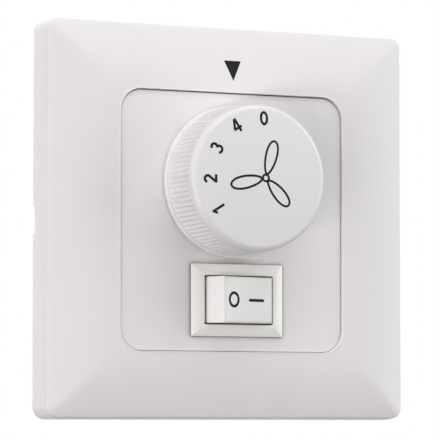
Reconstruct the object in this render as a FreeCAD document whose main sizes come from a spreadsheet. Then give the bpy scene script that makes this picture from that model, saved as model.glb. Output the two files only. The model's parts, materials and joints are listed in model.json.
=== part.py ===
"""Fan speed control switch for a round wall box.

Pieces are drawn as seen from the front: x to the right, y up, z out of the wall.
In the finished part +Z is up, the front faces -Y and the wall plane is y = 0.
"""
import FreeCAD
import Part
import Sketcher
import math
import os
from types import SimpleNamespace

# Driving dimensions in millimetres and degrees
SIZES = {
    # cover frame
    "frame_side": 82.0,
    "frame_corner": 3.4,
    "frame_edge": 7.3,
    "frame_lip": 9.7,
    "pillow_radius": 50.0,
    "frame_wall": 2.0,
    "frame_skin": 2.0,
    "edge_round": 0.7,
    "opening_wall": 1.8,
    "crown_width": 6.0,
    "pry_length": 6.5,
    "pry_depth": 1.0,
    # centre plate
    "plate_width": 50.6,
    "plate_height": 53.6,
    "plate_corner": 4.5,
    "plate_front": 9.2,
    "plate_thick": 2.0,
    "plate_gap": 0.16,
    "plate_drop": 0.07,
    "plate_round": 0.2,
    "ledge_width": 1.6,
    "ledge_thick": 1.4,
    "skirt_depth": 1.0,
    "skirt_wall": 1.2,
    # steel support plate
    "support_gap": 3.5,
    "support_corner": 4.0,
    "support_thick": 1.2,
    "support_lip": 3.2,
    "support_lip_length": 46.0,
    "screw_pitch": 60.0,
    "slot_width": 4.2,
    "slot_length": 6.0,
    # knob
    "knob_up": 8.3,
    "knob_gap": 0.3,
    "knob_height": 12.9,
    "knob_base_radius": 15.9,
    "knob_base_thick": 1.1,
    "knob_base_round": 0.35,
    "knob_low_radius": 15.4,
    "knob_high_radius": 15.1,
    "knob_shoulder": 1.7,
    "knob_dome": 0.7,
    "knob_skin": 2.0,
    "knob_wall": 2.0,
    "knob_boss_radius": 5.0,
    "knob_ribs": 6,
    "knob_rib_thick": 1.2,
    "knob_rib_step": 1.1,
    "flute_count": 90,
    "flute_depth": 0.4,
    "flute_width": 0.62,
    "flute_margin": 0.25,
    "clip_thick": 0.5,
    "clip_width": 3.6,
    "clip_clear": 0.07,
    # shaft, bushing and nuts
    "shaft_radius": 3.0,
    "shaft_flat": 1.5,
    "shaft_end_gap": 0.2,
    "tail_flat": 1.8,
    "pivot_radius": 1.5,
    "pivot_length": 2.8,
    "running_clear": 0.05,
    "bushing_radius": 5.0,
    "bushing_spare": 0.5,
    "bushing_flange": 7.5,
    "bushing_flange_thick": 1.2,
    "hole_clear": 0.12,
    "nut_flats": 14.0,
    "nut_thick": 2.2,
    "washer_radius": 7.6,
    "washer_thick": 0.5,
    "circlip_thick": 0.7,
    "circlip_radius": 4.8,
    "circlip_groove": 2.4,
    "circlip_mouth": 60.0,
    # rotary switch
    "case_side": 24.0,
    "case_corner": 1.5,
    "case_depth": 11.5,
    "case_front": 2.2,
    "case_wall": 2.5,
    "base_thick": 2.5,
    "peg_radius": 1.2,
    "peg_inset": 1.9,
    "peg_head": 0.6,
    "rotor_gap": 0.4,
    "star_radius": 8.0,
    "star_thick": 3.0,
    "star_notches": 12,
    "notch_depth": 0.8,
    "notch_half": 1.1,
    "carrier_radius": 7.0,
    "carrier_thick": 4.0,
    "spring_thick": 0.3,
    "spring_lift": 0.3,
    "spring_bump": 0.9,
    "spring_width": 2.4,
    "spring_rib": 1.6,
    "wiper_thick": 0.5,
    "wiper_width": 1.8,
    "dimple_radius": 0.7,
    "dimple_depth": 0.7,
    "contact_gap": 0.1,
    "pad_circle": 8.0,
    "pad_radius": 1.1,
    "pad_thick": 0.6,
    "ring_inner": 4.0,
    "ring_outer": 5.6,
    "step_angle": 30.0,
    "off_angle": 150.0,
    "pin_radius": 0.5,
    "pin_clear": 0.1,
    "pin_tail": 0.6,
    # rocker switch
    "rocker_across": 0.85,
    "rocker_up": -16.3,
    "bezel_width": 21.0,
    "bezel_height": 15.0,
    "bezel_edge": 0.35,
    "bezel_rise": 1.2,
    "bezel_land": 0.75,
    "rocker_width": 19.0,
    "rocker_height": 12.8,
    "rocker_clear": 0.1,
    "rocker_depth": 13.5,
    "rocker_floor": 1.5,
    "mouth_width": 15.6,
    "mouth_height": 10.1,
    "snap_reach": 0.8,
    "snap_length": 3.6,
    "snap_width": 5.0,
    "snap_clear": 0.05,
    "pivot_depth": 0.8,
    "axle_radius": 1.0,
    "axle_length": 1.1,
    "rocker_tilt": 15.0,
    "button_clear": 0.27,
    "button_rise": 4.5,
    "button_top": 13.0,
    "button_waist": 15.0,
    "button_foot": 14.0,
    "button_drop": 2.4,
    "button_dish": 0.25,
    "button_wall": 1.2,
    "button_round": 0.5,
    "stem_radius": 2.3,
    "stem_drop": 3.0,
    "stem_bore": 1.5,
    "plunger_reach": 5.5,
    "plunger_length": 4.3,
    "plunger_tip": 0.8,
    "coil_wire": 0.45,
    "coil_turns": 5.0,
    "coil_clear": 0.15,
    "blade_clear": 0.15,
    "blade_thick": 0.5,
    "blade_half": 6.8,
    "blade_width": 4.0,
    "blade_tilt": 6.0,
    "contact_reach": 6.0,
    "contact_radius": 1.1,
    "contact_thick": 0.4,
    "tab_thick": 0.8,
    "tab_width": 4.8,
    "tab_neck": 3.6,
    "tab_length": 8.0,
    "tab_clear": 0.05,
    # rear housing
    "housing_radius": 27.0,
    "housing_wall": 1.8,
    "housing_depth": 33.0,
    "bay_gap": 1.0,
    "boss_gap": 1.9,
    "boss_radius": 3.2,
    "boss_depth": 11.0,
    "post_inset": 3.9,
    "post_angle": 16.0,
    "post_radius": 2.6,
    "screw_radius": 1.4,
    "screw_length": 10.0,
    "screw_head": 2.6,
    "screw_head_thick": 1.6,
    "board_screw_radius": 1.1,
    "board_screw_length": 7.0,
    "board_screw_head": 2.1,
    "thread_clear": 0.02,
    "window_width": 19.0,
    "window_height": 9.0,
    # circuit board and what stands on it
    "board_gap": 0.6,
    "board_out": -18.0,
    "board_thick": 1.6,
    "capacitor_width": 17.5,
    "capacitor_depth": 7.5,
    "capacitor_room": 1.2,
    "capacitor_first": -6.0,
    "capacitor_pitch": 8.0,
    "capacitor_foot": 0.8,
    "capacitor_pin_pitch": 15.0,
    "capacitor_round": 0.6,
    "resistor_across": 13.6,
    "resistor_radius": 1.5,
    "resistor_length": 7.0,
    "resistor_wire": 0.35,
    "resistor_span": 11.0,
    "resistor_lift": 2.4,
    # terminal block
    "block_up": -15.5,
    "block_width": 20.4,
    "block_height": 10.0,
    "block_room": 1.2,
    "pole_pitch": 6.6,
    "cage_width": 5.0,
    "cage_length": 7.0,
    "cage_wall": 0.8,
    "cage_inset": 0.6,
    "cage_clear": 0.06,
    "clamp_radius": 1.4,
    "clamp_head": 1.9,
    "clamp_head_thick": 1.2,
    "clamp_slot": 0.6,
    "driver_clear": 0.5,
    # leads from the rocker to the board
    "lead_radius": 0.75,
    "lead_bend": 1.7,
    "lead_reach": 7.0,
}

doc = FreeCAD.newDocument("FanSpeedSwitch")
sheet = doc.addObject("Spreadsheet::Sheet", "Sizes")
for row, (alias, number) in enumerate(SIZES.items(), start=1):
    sheet.set(f"A{row}", alias)
    sheet.set(f"B{row}", str(number))
    sheet.setAlias(f"B{row}", alias)
doc.recompute()


class Size:
    """A length together with the sheet formula that gives it."""

    def __init__(self, value, text):
        self.value = float(value)
        self.text = text

    def __add__(self, other):
        other = as_size(other)
        return Size(self.value + other.value, f"({self.text} + {other.text})")

    def __sub__(self, other):
        other = as_size(other)
        return Size(self.value - other.value, f"({self.text} - {other.text})")

    def __mul__(self, other):
        other = as_size(other)
        return Size(self.value * other.value, f"({self.text} * {other.text})")

    def __truediv__(self, other):
        other = as_size(other)
        return Size(self.value / other.value, f"({self.text} / {other.text})")

    def __rsub__(self, other):
        return as_size(other) - self

    def __neg__(self):
        return Size(-self.value, f"(-1 * {self.text})")

    __radd__ = __add__
    __rmul__ = __mul__

    def root(self):
        return Size(math.sqrt(self.value), f"sqrt({self.text})")

    def sin(self):
        return Size(math.sin(math.radians(self.value)), f"sin({self.text})")

    def cos(self):
        return Size(math.cos(math.radians(self.value)), f"cos({self.text})")


def as_size(number):
    return number if isinstance(number, Size) else Size(number, repr(float(number)))


s = SimpleNamespace(**{name: Size(sheet.get(name), f"Sizes.{name}") for name in SIZES})
STANDING = FreeCAD.Rotation(FreeCAD.Vector(1, 0, 0), 90)
subparts = []

# Places that several pieces share, measured out from the wall
plate_rear = s.plate_front - s.plate_thick
knob_base = s.plate_front + s.knob_gap
knob_face = s.plate_front + s.knob_height
knob_ceiling = knob_face - s.knob_skin
nut_front = s.plate_front + s.washer_thick + s.nut_thick
bushing_end = nut_front + s.bushing_spare
circlip_out = bushing_end + s.running_clear
boss_foot = circlip_out + s.circlip_thick + s.knob_gap
shaft_end = knob_ceiling - s.shaft_end_gap
star_front = -s.case_front - s.rotor_gap
star_rear = star_front - s.star_thick
rotor_rear = star_rear - s.carrier_thick
base_front = -s.case_depth
base_rear = base_front - s.base_thick
pad_front = base_front + s.pad_thick
wiper_tip = pad_front + s.contact_gap
board_front = s.board_out + s.board_thick
mouth_rim = s.plate_front + s.bezel_rise
rocker_rear = s.plate_front - s.rocker_depth
pivot_out = s.plate_front - s.pivot_depth
tab_end = rocker_rear - s.tab_length
blade_out = pivot_out - s.plunger_reach - s.blade_clear - s.blade_thick
blade_lift = s.tab_thick / 2 + s.tab_clear
blade_axis = blade_out - blade_lift
contact_across = s.rocker_across - s.contact_reach
support_side = s.frame_side - (s.frame_wall + s.support_gap) * 2
housing_inner = s.housing_radius - s.housing_wall
housing_floor = s.housing_wall - s.housing_depth
boss_across = s.plate_width / 2 - s.boss_gap - s.screw_head
post_across = (housing_inner - s.post_inset) * s.post_angle.cos()
post_up = (housing_inner - s.post_inset) * s.post_angle.sin()
capacitor_rear = housing_floor + s.capacitor_room
block_rear = housing_floor + s.block_room
cage_out = block_rear + s.cage_width / 2 + s.clamp_head_thick * 2 + s.pin_clear


def tie(item, setting, size):
    """Bind one property to the sheet."""
    item.setExpression(setting, as_size(size).text)


def keep(item, label):
    """Count an object as a finished sub-part."""
    item.Label = label
    subparts.append(item)
    return item


# Bodies and their drawings


def new_body(label, across=0, up=0):
    """A body seen from the front, with its own origin on the wall plane."""
    body = doc.addObject("PartDesign::Body", label)
    body.Placement = FreeCAD.Placement(FreeCAD.Vector(0, 0, 0), STANDING)
    tie(body, "Placement.Base.x", across)
    tie(body, "Placement.Base.z", up)
    return keep(body, label)


def tilted_body(label, out, angle):
    """A body of the rocker seen from above, turned about an upright axis through its origin."""
    body = doc.addObject("PartDesign::Body", label)
    body.Placement = FreeCAD.Placement(FreeCAD.Vector(0, 0, 0), FreeCAD.Rotation(0, 0, 0))
    tie(body, "Placement.Base.x", s.rocker_across)
    tie(body, "Placement.Base.y", -out)
    tie(body, "Placement.Base.z", s.rocker_up)
    tie(body, "Placement.Rotation.Angle", angle)
    return keep(body, label)


def drawing(body, plane="XY_Plane", offset=0):
    """A sketch on one of the body's own planes, moved along its normal."""
    sketch = body.newObject("Sketcher::SketchObject", body.Name + "_sketch")
    origin_plane = next(item for item in body.Origin.OriginFeatures if item.Role == plane)
    sketch.AttachmentSupport = [(origin_plane, "")]
    sketch.MapMode = "FlatFace"
    tie(sketch, "AttachmentOffset.Base.z", offset)
    return sketch


def dimension(sketch, kind, places, size):
    """Add one dimension and bind it to the sheet."""
    size = as_size(size)
    index = sketch.addConstraint(Sketcher.Constraint(kind, *places, size.value))
    sketch.setExpression(f"Constraints[{index}]", size.text)


def fix_point(sketch, edge, spot, x, y):
    dimension(sketch, "DistanceX", (-1, 1, edge, spot), x)
    dimension(sketch, "DistanceY", (-1, 1, edge, spot), y)


def arc_between(start, finish, radius, side):
    """The short arc from start to finish; side 1 runs counter-clockwise and -1 clockwise."""
    chord = finish - start
    rise = math.sqrt(max(radius**2 - (chord.Length / 2) ** 2, 0.0))
    left = FreeCAD.Vector(-chord.y, chord.x, 0).normalize()
    centre = (start + finish) / 2 + left * (rise * side)
    first, last = (start, finish) if side > 0 else (finish, start)
    angles = [math.atan2(p.y - centre.y, p.x - centre.x) for p in (first, last)]
    circle = Part.Circle(centre, FreeCAD.Vector(0, 0, 1), radius)
    return Part.ArcOfCircle(circle, *angles)


def outline(sketch, corners, closed=True):
    """A profile through corners (x, y), or (x, y, radius, side) where an arc leaves the corner."""
    spots = [(as_size(corner[0]), as_size(corner[1])) for corner in corners]
    points = [FreeCAD.Vector(x.value, y.value, 0) for x, y in spots]
    order = list(range(len(corners)))
    steps = list(zip(order, order[1:] + order[:1]))
    if not closed:
        steps = steps[:-1]
    ends = []
    for here, after in steps:
        bend = corners[here][2:]
        if bend:
            radius = as_size(bend[0])
            arc = arc_between(points[here], points[after], radius.value, bend[1])
            edge = sketch.addGeometry(arc, False)
            dimension(sketch, "Radius", (edge,), radius)
            ends.append((edge, 1, 2) if bend[1] > 0 else (edge, 2, 1))
        else:
            edge = sketch.addGeometry(Part.LineSegment(points[here], points[after]), False)
            ends.append((edge, 1, 2))
    joins = list(zip(ends, ends[1:] + ends[:1]))
    for before, after in joins if closed else joins[:-1]:
        sketch.addConstraint(Sketcher.Constraint("Coincident", before[0], before[2], after[0], after[1]))
    for end, spot in zip(ends, spots):
        fix_point(sketch, end[0], end[1], *spot)
    if not closed:
        fix_point(sketch, ends[-1][0], ends[-1][2], *spots[-1])
    return sketch


def rectangle(sketch, width, height, x=0, y=0):
    left, right = as_size(x) - width / 2, as_size(x) + width / 2
    low, high = as_size(y) - height / 2, as_size(y) + height / 2
    return outline(sketch, [(left, low), (right, low), (right, high), (left, high)])


def rounded(sketch, width, height, radius):
    """A rectangle about the origin with rounded corners."""
    right, high = width / 2, height / 2
    corners = [
        (radius - right, -high),
        (right - radius, -high, radius, 1),
        (right, radius - high),
        (right, high - radius, radius, 1),
        (right - radius, high),
        (radius - right, high, radius, 1),
        (-right, high - radius),
        (-right, radius - high, radius, 1),
    ]
    return outline(sketch, corners)


def circle(sketch, radius, x=0, y=0):
    radius, x, y = as_size(radius), as_size(x), as_size(y)
    centre = FreeCAD.Vector(x.value, y.value, 0)
    edge = sketch.addGeometry(Part.Circle(centre, FreeCAD.Vector(0, 0, 1), radius.value), False)
    dimension(sketch, "Radius", (edge,), radius)
    fix_point(sketch, edge, 3, x, y)
    return sketch


def slot(sketch, x, y, upright):
    """A screw slot with round ends, each end arc held by its centre."""
    half = s.slot_width / 2
    run = s.slot_length / 2 - half
    x, y = as_size(x), as_size(y)
    along = (0, 1) if upright else (1, 0)
    flat = FreeCAD.Vector(0, 0, 1)
    arcs = []
    for end in (1, -1):
        centre_x, centre_y = x + run * (along[0] * end), y + run * (along[1] * end)
        centre = FreeCAD.Vector(centre_x.value, centre_y.value, 0)
        middle = math.atan2(along[1] * end, along[0] * end)
        ring = Part.Circle(centre, flat, half.value)
        arc = Part.ArcOfCircle(ring, middle - math.pi / 2, middle + math.pi / 2)
        edge = sketch.addGeometry(arc, False)
        fix_point(sketch, edge, 3, centre_x, centre_y)
        dimension(sketch, "Radius", (edge,), half)
        arcs.append((edge, arc))
    for (edge, arc), (other, facing) in (arcs, arcs[::-1]):
        line = sketch.addGeometry(Part.LineSegment(arc.EndPoint, facing.StartPoint), False)
        sketch.addConstraint(Sketcher.Constraint("Tangent", edge, 2, line, 1))
        sketch.addConstraint(Sketcher.Constraint("Tangent", line, 2, other, 1))


# Features


def feature(body, kind, profile):
    item = body.newObject("PartDesign::" + kind, body.Name + "_" + kind.lower())
    item.Profile = profile
    body.Tip = item
    return item


def pad(body, sketch, length):
    item = feature(body, "Pad", sketch)
    tie(item, "Length", length)
    return item


def pocket(body, sketch, depth, along_normal=False):
    """Cut against the drawing's normal, or along it."""
    item = feature(body, "Pocket", sketch)
    item.Reversed = along_normal
    tie(item, "Length", depth)
    return item


def revolve(body, sketch):
    """Turn a profile about the drawing's vertical axis."""
    item = feature(body, "Revolution", sketch)
    item.ReferenceAxis = (sketch, ["V_Axis"])
    item.Angle = 360
    return item


def repeat_round(body, original, count):
    """Repeat a feature around the body's z axis."""
    item = body.newObject("PartDesign::PolarPattern", body.Name + "_pattern")
    item.Originals = [original]
    item.Axis = (next(axis for axis in body.Origin.OriginFeatures if axis.Role == "Z_Axis"), [""])
    item.Angle = 360
    tie(item, "Occurrences", count)
    body.Tip = item
    return item


def round_edges(body, radius, wanted):
    """Round the edges of the latest feature that a test picks."""
    doc.recompute()
    base = body.Tip
    names = [f"Edge{i}" for i, edge in enumerate(base.Shape.Edges, start=1) if wanted(edge)]
    item = body.newObject("PartDesign::Fillet", body.Name + "_fillet")
    item.Base = (base, names)
    tie(item, "Radius", radius)
    body.Tip = item
    return item


def turned(label, corners, across=0, up=0):
    """A turned piece from its half section, each corner (radius, out)."""
    body = new_body(label, across, up)
    revolve(body, outline(drawing(body, "XZ_Plane"), corners))
    return body


# Plain solids in the part's own frame


def slab(name, width, height, depth, across=0, up=0, out=0):
    """A box centred on across and up, with its back face at out."""
    item = doc.addObject("Part::Box", name)
    width, height, depth = as_size(width), as_size(height), as_size(depth)
    tie(item, "Length", width)
    tie(item, "Width", depth)
    tie(item, "Height", height)
    tie(item, "Placement.Base.x", as_size(across) - width / 2)
    tie(item, "Placement.Base.y", -(as_size(out) + depth))
    tie(item, "Placement.Base.z", as_size(up) - height / 2)
    return item


def rod(name, radius, depth, across=0, up=0, out=0):
    """A cylinder that stands out of the wall plane from out."""
    item = doc.addObject("Part::Cylinder", name)
    item.Placement = FreeCAD.Placement(FreeCAD.Vector(0, 0, 0), STANDING)
    tie(item, "Radius", radius)
    tie(item, "Height", depth)
    tie(item, "Placement.Base.x", across)
    tie(item, "Placement.Base.y", -as_size(out))
    tie(item, "Placement.Base.z", up)
    return item


def upright_rod(name, radius, length, across=0, low=0, out=0):
    """A cylinder that runs upwards from low."""
    item = doc.addObject("Part::Cylinder", name)
    tie(item, "Radius", radius)
    tie(item, "Height", length)
    tie(item, "Placement.Base.x", across)
    tie(item, "Placement.Base.y", -as_size(out))
    tie(item, "Placement.Base.z", low)
    return item


def joined(name, pieces):
    item = doc.addObject("Part::MultiFuse", name)
    item.Shapes = pieces
    item.Refine = True
    return item


def less(name, base, tools):
    """The base with every tool cut out of it."""
    item = doc.addObject("Part::Cut", name)
    item.Base = base
    item.Tool = tools[0] if len(tools) == 1 else joined(name + "_tools", tools)
    item.Refine = True
    return item


def grouped(label, pieces):
    """Several identical pieces that share one sub-part."""
    item = doc.addObject("Part::Compound", label)
    item.Links = pieces
    return keep(item, label)


# Shell that is seen from the front


def make_cover_frame():
    body = new_body("cover_frame")
    half = s.frame_side / 2
    pad(body, rounded(drawing(body), s.frame_side, s.frame_side, s.frame_corner), s.frame_lip)

    # Pillow face: the same slope is cut along both directions, so that the corners mitre
    openings = ((s.plate_width, "XZ_Plane"), (s.plate_height, "YZ_Plane"))
    for opening, plane in openings:
        flat = opening / 2 + s.plate_gap
        sketch = drawing(body, plane, half)
        for sign in (1, -1):
            slope = (half * sign, s.frame_edge, s.pillow_radius, sign)
            outline(sketch, [slope, (flat * sign, s.frame_lip), (half * sign, s.frame_lip)])
        pocket(body, sketch, s.frame_side)
    edge_low = s.frame_edge.value - s.frame_corner.value
    reach = half.value - s.frame_corner.value

    def outer_edge(edge):
        box = edge.BoundBox
        level = box.ZMin > edge_low and box.ZMax < s.frame_lip.value - 0.1
        middle = edge.valueAt((edge.FirstParameter + edge.LastParameter) / 2)
        return level and max(abs(middle.x), abs(middle.y)) > reach

    round_edges(body, s.edge_round, outer_edge)

    # Seat for the centre plate, and the opening behind its ledge
    seat_width, seat_height = s.plate_width + s.plate_gap * 2, s.plate_height + s.plate_gap * 2
    seat_corner = s.plate_corner + s.plate_gap
    mouth_corner = s.plate_corner - s.ledge_width
    top = drawing(body, offset=s.frame_lip)
    pocket(body, rounded(top, seat_width, seat_height, seat_corner), s.frame_lip - plate_rear)
    mouth = drawing(body, offset=s.frame_lip)
    ledge = s.ledge_width * 2
    pocket(body, rounded(mouth, s.plate_width - ledge, s.plate_height - ledge, mouth_corner), s.frame_lip)
    under = drawing(body)
    pocket(body, rounded(under, seat_width, seat_height, seat_corner), plate_rear - s.ledge_thick, True)

    # Hollow back: room for the steel plate, and rings on both sides of the opening wall
    inner = s.frame_side - s.frame_wall * 2
    inner_corner = s.frame_corner - s.frame_wall
    pocket(body, rounded(drawing(body), inner, inner, inner_corner), s.support_thick, True)
    wall_width, wall_height = seat_width + s.opening_wall * 2, seat_height + s.opening_wall * 2
    wall_corner = seat_corner + s.opening_wall
    ring = drawing(body)
    rounded(ring, inner, inner, inner_corner)
    rounded(ring, wall_width, wall_height, wall_corner)
    pocket(body, ring, s.frame_edge - s.frame_skin, True)
    crown = drawing(body)
    crown_width, crown_height = wall_width + s.crown_width * 2, wall_height + s.crown_width * 2
    rounded(crown, crown_width, crown_height, wall_corner + s.crown_width)
    rounded(crown, wall_width, wall_height, wall_corner)
    pocket(body, crown, plate_rear, True)

    # Notch for a screwdriver in the rear edge of the left side, with a ramp at its upper end
    pry = drawing(body, "YZ_Plane", s.frame_wall - half)
    low, high = -s.pry_length / 2, s.pry_length / 2
    outline(pry, [(low, 0), (high, 0), (high - s.pry_depth, s.pry_depth), (low, s.pry_depth)])
    pocket(body, pry, s.frame_wall)


def make_centre_plate():
    """The plate rests a little low in its opening."""
    body = new_body("centre_plate", up=-s.plate_drop)
    back = drawing(body, offset=plate_rear)
    pad(body, rounded(back, s.plate_width, s.plate_height, s.plate_corner), s.plate_thick)
    face = s.plate_front.value
    round_edges(body, s.plate_round, lambda edge: edge.BoundBox.ZMin > face - s.plate_round.value)
    skirt = drawing(body, offset=plate_rear - s.skirt_depth)
    inset = (s.ledge_width + s.plate_gap) * 2
    width, height = s.plate_width - inset, s.plate_height - inset
    corner = s.plate_corner - s.ledge_width
    rounded(skirt, width, height, corner)
    rounded(skirt, width - s.skirt_wall * 2, height - s.skirt_wall * 2, corner - s.skirt_wall)
    pad(body, skirt, s.skirt_depth)
    holes = drawing(body, offset=s.plate_front)
    circle(holes, s.bushing_radius + s.hole_clear, 0, s.knob_up + s.plate_drop)
    clear = s.rocker_clear * 2
    rocker_up = s.rocker_up + s.plate_drop
    rectangle(holes, s.rocker_width + clear, s.rocker_height + clear, s.rocker_across, rocker_up)
    pocket(body, holes, s.plate_thick)


# Knob


def make_speed_knob():
    body = new_body("speed_knob", up=s.knob_up)
    hollow = s.knob_high_radius - s.flute_depth - s.knob_wall
    flange_top = knob_base + s.knob_base_thick
    face_radius = s.knob_high_radius - s.knob_shoulder
    dome_radius = (face_radius * face_radius + s.knob_dome * s.knob_dome) / (s.knob_dome * 2)
    section = [
        (hollow, knob_base),
        (s.knob_base_radius, knob_base),
        (s.knob_base_radius, flange_top - s.knob_base_round, s.knob_base_round, 1),
        (s.knob_base_radius - s.knob_base_round, flange_top),
        (s.knob_low_radius, flange_top),
        (s.knob_high_radius, knob_face - s.knob_shoulder, s.knob_shoulder, 1),
        (face_radius, knob_face, dome_radius, 1),
        (0, knob_face + s.knob_dome),
        (0, knob_ceiling),
        (hollow, knob_ceiling),
    ]
    revolve(body, outline(drawing(body, "XZ_Plane"), section))

    # Straight flutes, from just above the flange to just below the shoulder
    flute_foot = flange_top + s.flute_margin
    flute_length = knob_face - s.knob_shoulder - s.flute_margin - flute_foot
    groove = drawing(body, offset=flute_foot)
    bottom = s.knob_high_radius - s.flute_depth
    spread = s.flute_width / (s.knob_low_radius - bottom) / 2
    mouth = s.knob_base_radius
    half = spread * (mouth - bottom)
    outline(groove, [(bottom, 0), (mouth, -half), (mouth, half)])
    repeat_round(body, pocket(body, groove, flute_length, True), s.flute_count)

    # Boss and ribs under the face, then the D bore and the slot for its leaf spring
    boss = drawing(body, offset=boss_foot)
    pad(body, circle(boss, s.knob_boss_radius), knob_ceiling - boss_foot)
    rib_foot = boss_foot + s.knob_rib_step
    rib = drawing(body, offset=rib_foot)
    run = hollow - s.knob_boss_radius
    middle = (hollow + s.knob_boss_radius) / 2
    rectangle(rib, run + s.knob_rib_thick, s.knob_rib_thick, middle, 0)
    repeat_round(body, pad(body, rib, knob_ceiling - rib_foot), s.knob_ribs)
    bore = s.shaft_radius + s.running_clear
    flat = s.shaft_flat + s.running_clear
    reach = (bore * bore - flat * flat).root()
    hole = drawing(body, offset=boss_foot)
    outline(hole, [(-reach, flat, bore, 1), (0, -bore, bore, 1), (reach, flat)])
    pocket(body, hole, knob_ceiling - boss_foot, True)
    leaf = drawing(body, offset=boss_foot)
    depth = s.clip_thick + s.clip_clear * 2
    rectangle(leaf, s.clip_width + s.clip_clear * 2, depth, 0, flat + depth / 2)
    pocket(body, leaf, knob_ceiling - boss_foot, True)


def make_knob_leaf_clip():
    up = s.knob_up + s.shaft_flat + s.running_clear + s.clip_clear + s.clip_thick / 2
    length = knob_ceiling - boss_foot - s.clip_clear * 2
    clip = slab("knob_leaf_clip", s.clip_width, s.clip_thick, length, 0, up, boss_foot + s.clip_clear)
    keep(clip, "knob_leaf_clip")


# Shaft, bushing and the nuts that clamp plate and mechanism


def make_control_shaft():
    tail = rotor_rear - s.wiper_thick
    groove_out = circlip_out - s.running_clear / 2
    groove_end = circlip_out + s.circlip_thick + s.running_clear / 2
    chamfer = s.shaft_radius / 8
    section = [
        (0, tail - s.pivot_length),
        (s.pivot_radius, tail - s.pivot_length),
        (s.pivot_radius, tail),
        (s.shaft_radius, tail),
        (s.shaft_radius, groove_out),
        (s.circlip_groove, groove_out),
        (s.circlip_groove, groove_end),
        (s.shaft_radius, groove_end),
        (s.shaft_radius, shaft_end - chamfer),
        (s.shaft_radius - chamfer, shaft_end),
        (0, shaft_end),
    ]
    body = turned("control_shaft", section, up=s.knob_up)
    width = s.shaft_radius * 2
    for flat, start, length in (
        (s.shaft_flat, boss_foot, shaft_end - boss_foot),
        (s.tail_flat, tail, -tail - s.case_front),
    ):
        sketch = drawing(body, offset=start)
        rectangle(sketch, width, s.shaft_radius, 0, flat + s.shaft_radius / 2)
        pocket(body, sketch, length, True)


def make_shaft_circlip():
    body = new_body("shaft_circlip", up=s.knob_up)
    sketch = drawing(body, offset=circlip_out)
    circle(sketch, s.circlip_radius)
    circle(sketch, s.circlip_groove + s.running_clear)
    pad(body, sketch, s.circlip_thick)
    mouth = drawing(body, offset=circlip_out)
    reach = s.circlip_radius * 2
    side = reach * (s.circlip_mouth / 2).sin()
    outline(mouth, [(0, 0), (-side, -reach), (side, -reach)])
    pocket(body, mouth, s.circlip_thick, True)


def make_threaded_bushing():
    bore = s.shaft_radius + s.running_clear
    section = [
        (bore, -s.bushing_flange_thick),
        (s.bushing_flange, -s.bushing_flange_thick),
        (s.bushing_flange, 0),
        (s.bushing_radius, 0),
        (s.bushing_radius, bushing_end),
        (bore, bushing_end),
    ]
    turned("threaded_bushing", section, up=s.knob_up)


def make_nut(label, out):
    body = new_body(label, up=s.knob_up)
    corner = s.nut_flats / math.sqrt(3)
    sketch = drawing(body, offset=out)
    angles = [math.radians(60 * k) for k in range(6)]
    outline(sketch, [(corner * math.cos(a), corner * math.sin(a)) for a in angles])
    circle(sketch, s.bushing_radius + s.thread_clear)
    pad(body, sketch, s.nut_thick)


def make_plate_washer():
    out, front = s.plate_front, s.plate_front + s.washer_thick
    bore = s.bushing_radius + s.hole_clear
    section = [(bore, out), (s.washer_radius, out), (s.washer_radius, front), (bore, front)]
    turned("plate_washer", section, up=s.knob_up)


# Rotary switch behind the steel plate


def make_rotary_case():
    body = new_body("rotary_case", up=s.knob_up)
    side = s.case_side
    pad(body, rounded(drawing(body, offset=base_front), side, side, s.case_corner), s.case_depth)
    cavity = s.case_side - s.case_wall * 2
    room = drawing(body, offset=base_front)
    pocket(body, rounded(room, cavity, cavity, s.case_corner), s.case_depth - s.case_front, True)
    seat = drawing(body)
    pocket(body, circle(seat, s.bushing_flange + s.hole_clear), s.bushing_flange_thick)
    pocket(body, circle(drawing(body), s.shaft_radius + s.hole_clear), s.case_front)

    # Ribs that hold the ends of the detent spring, then pegs that are staked over the base
    spring_top = s.star_radius + s.spring_lift + s.spring_thick
    rib_height = cavity / 2 - spring_top
    rib_across = cavity / 2 - s.spring_rib
    ribs = drawing(body, offset=star_rear)
    for sign in (-1, 1):
        rectangle(ribs, s.spring_rib, rib_height, rib_across * sign, spring_top + rib_height / 2)
    pad(body, ribs, s.star_thick + s.rotor_gap)
    spot = s.case_side / 2 - s.peg_inset
    pegs = drawing(body, offset=base_rear - s.peg_head)
    for x, y in ((1, 1), (-1, 1), (-1, -1), (1, -1)):
        circle(pegs, s.peg_radius, spot * x, spot * y)
    pad(body, pegs, s.base_thick + s.peg_head)


def make_rotary_base():
    body = new_body("rotary_base", up=s.knob_up)
    side = s.case_side
    pad(body, rounded(drawing(body, offset=base_rear), side, side, s.case_corner), s.base_thick)
    holes = drawing(body, offset=base_front)
    circle(holes, s.pivot_radius + s.running_clear)
    spot = s.case_side / 2 - s.peg_inset
    for x, y in ((1, 1), (-1, 1), (-1, -1), (1, -1)):
        circle(holes, s.peg_radius + s.thread_clear, spot * x, spot * y)
    for x, y in contact_spots():
        circle(holes, s.pin_radius + s.thread_clear, x, y)
    pocket(body, holes, s.base_thick)


def speed_angle(step):
    """Where the contact of a speed lies; one step is one click of the knob from off."""
    return s.off_angle - s.step_angle * step


def contact_spots():
    """Pin places about the shaft: the four speeds, then the common ring."""
    angles = [speed_angle(step) for step in (1, 2, 3, 4)]
    spots = [(s.pad_circle * angle.cos(), s.pad_circle * angle.sin()) for angle in angles]
    return spots + [(as_size(0), -(s.ring_inner + s.ring_outer) / 2)]


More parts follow.
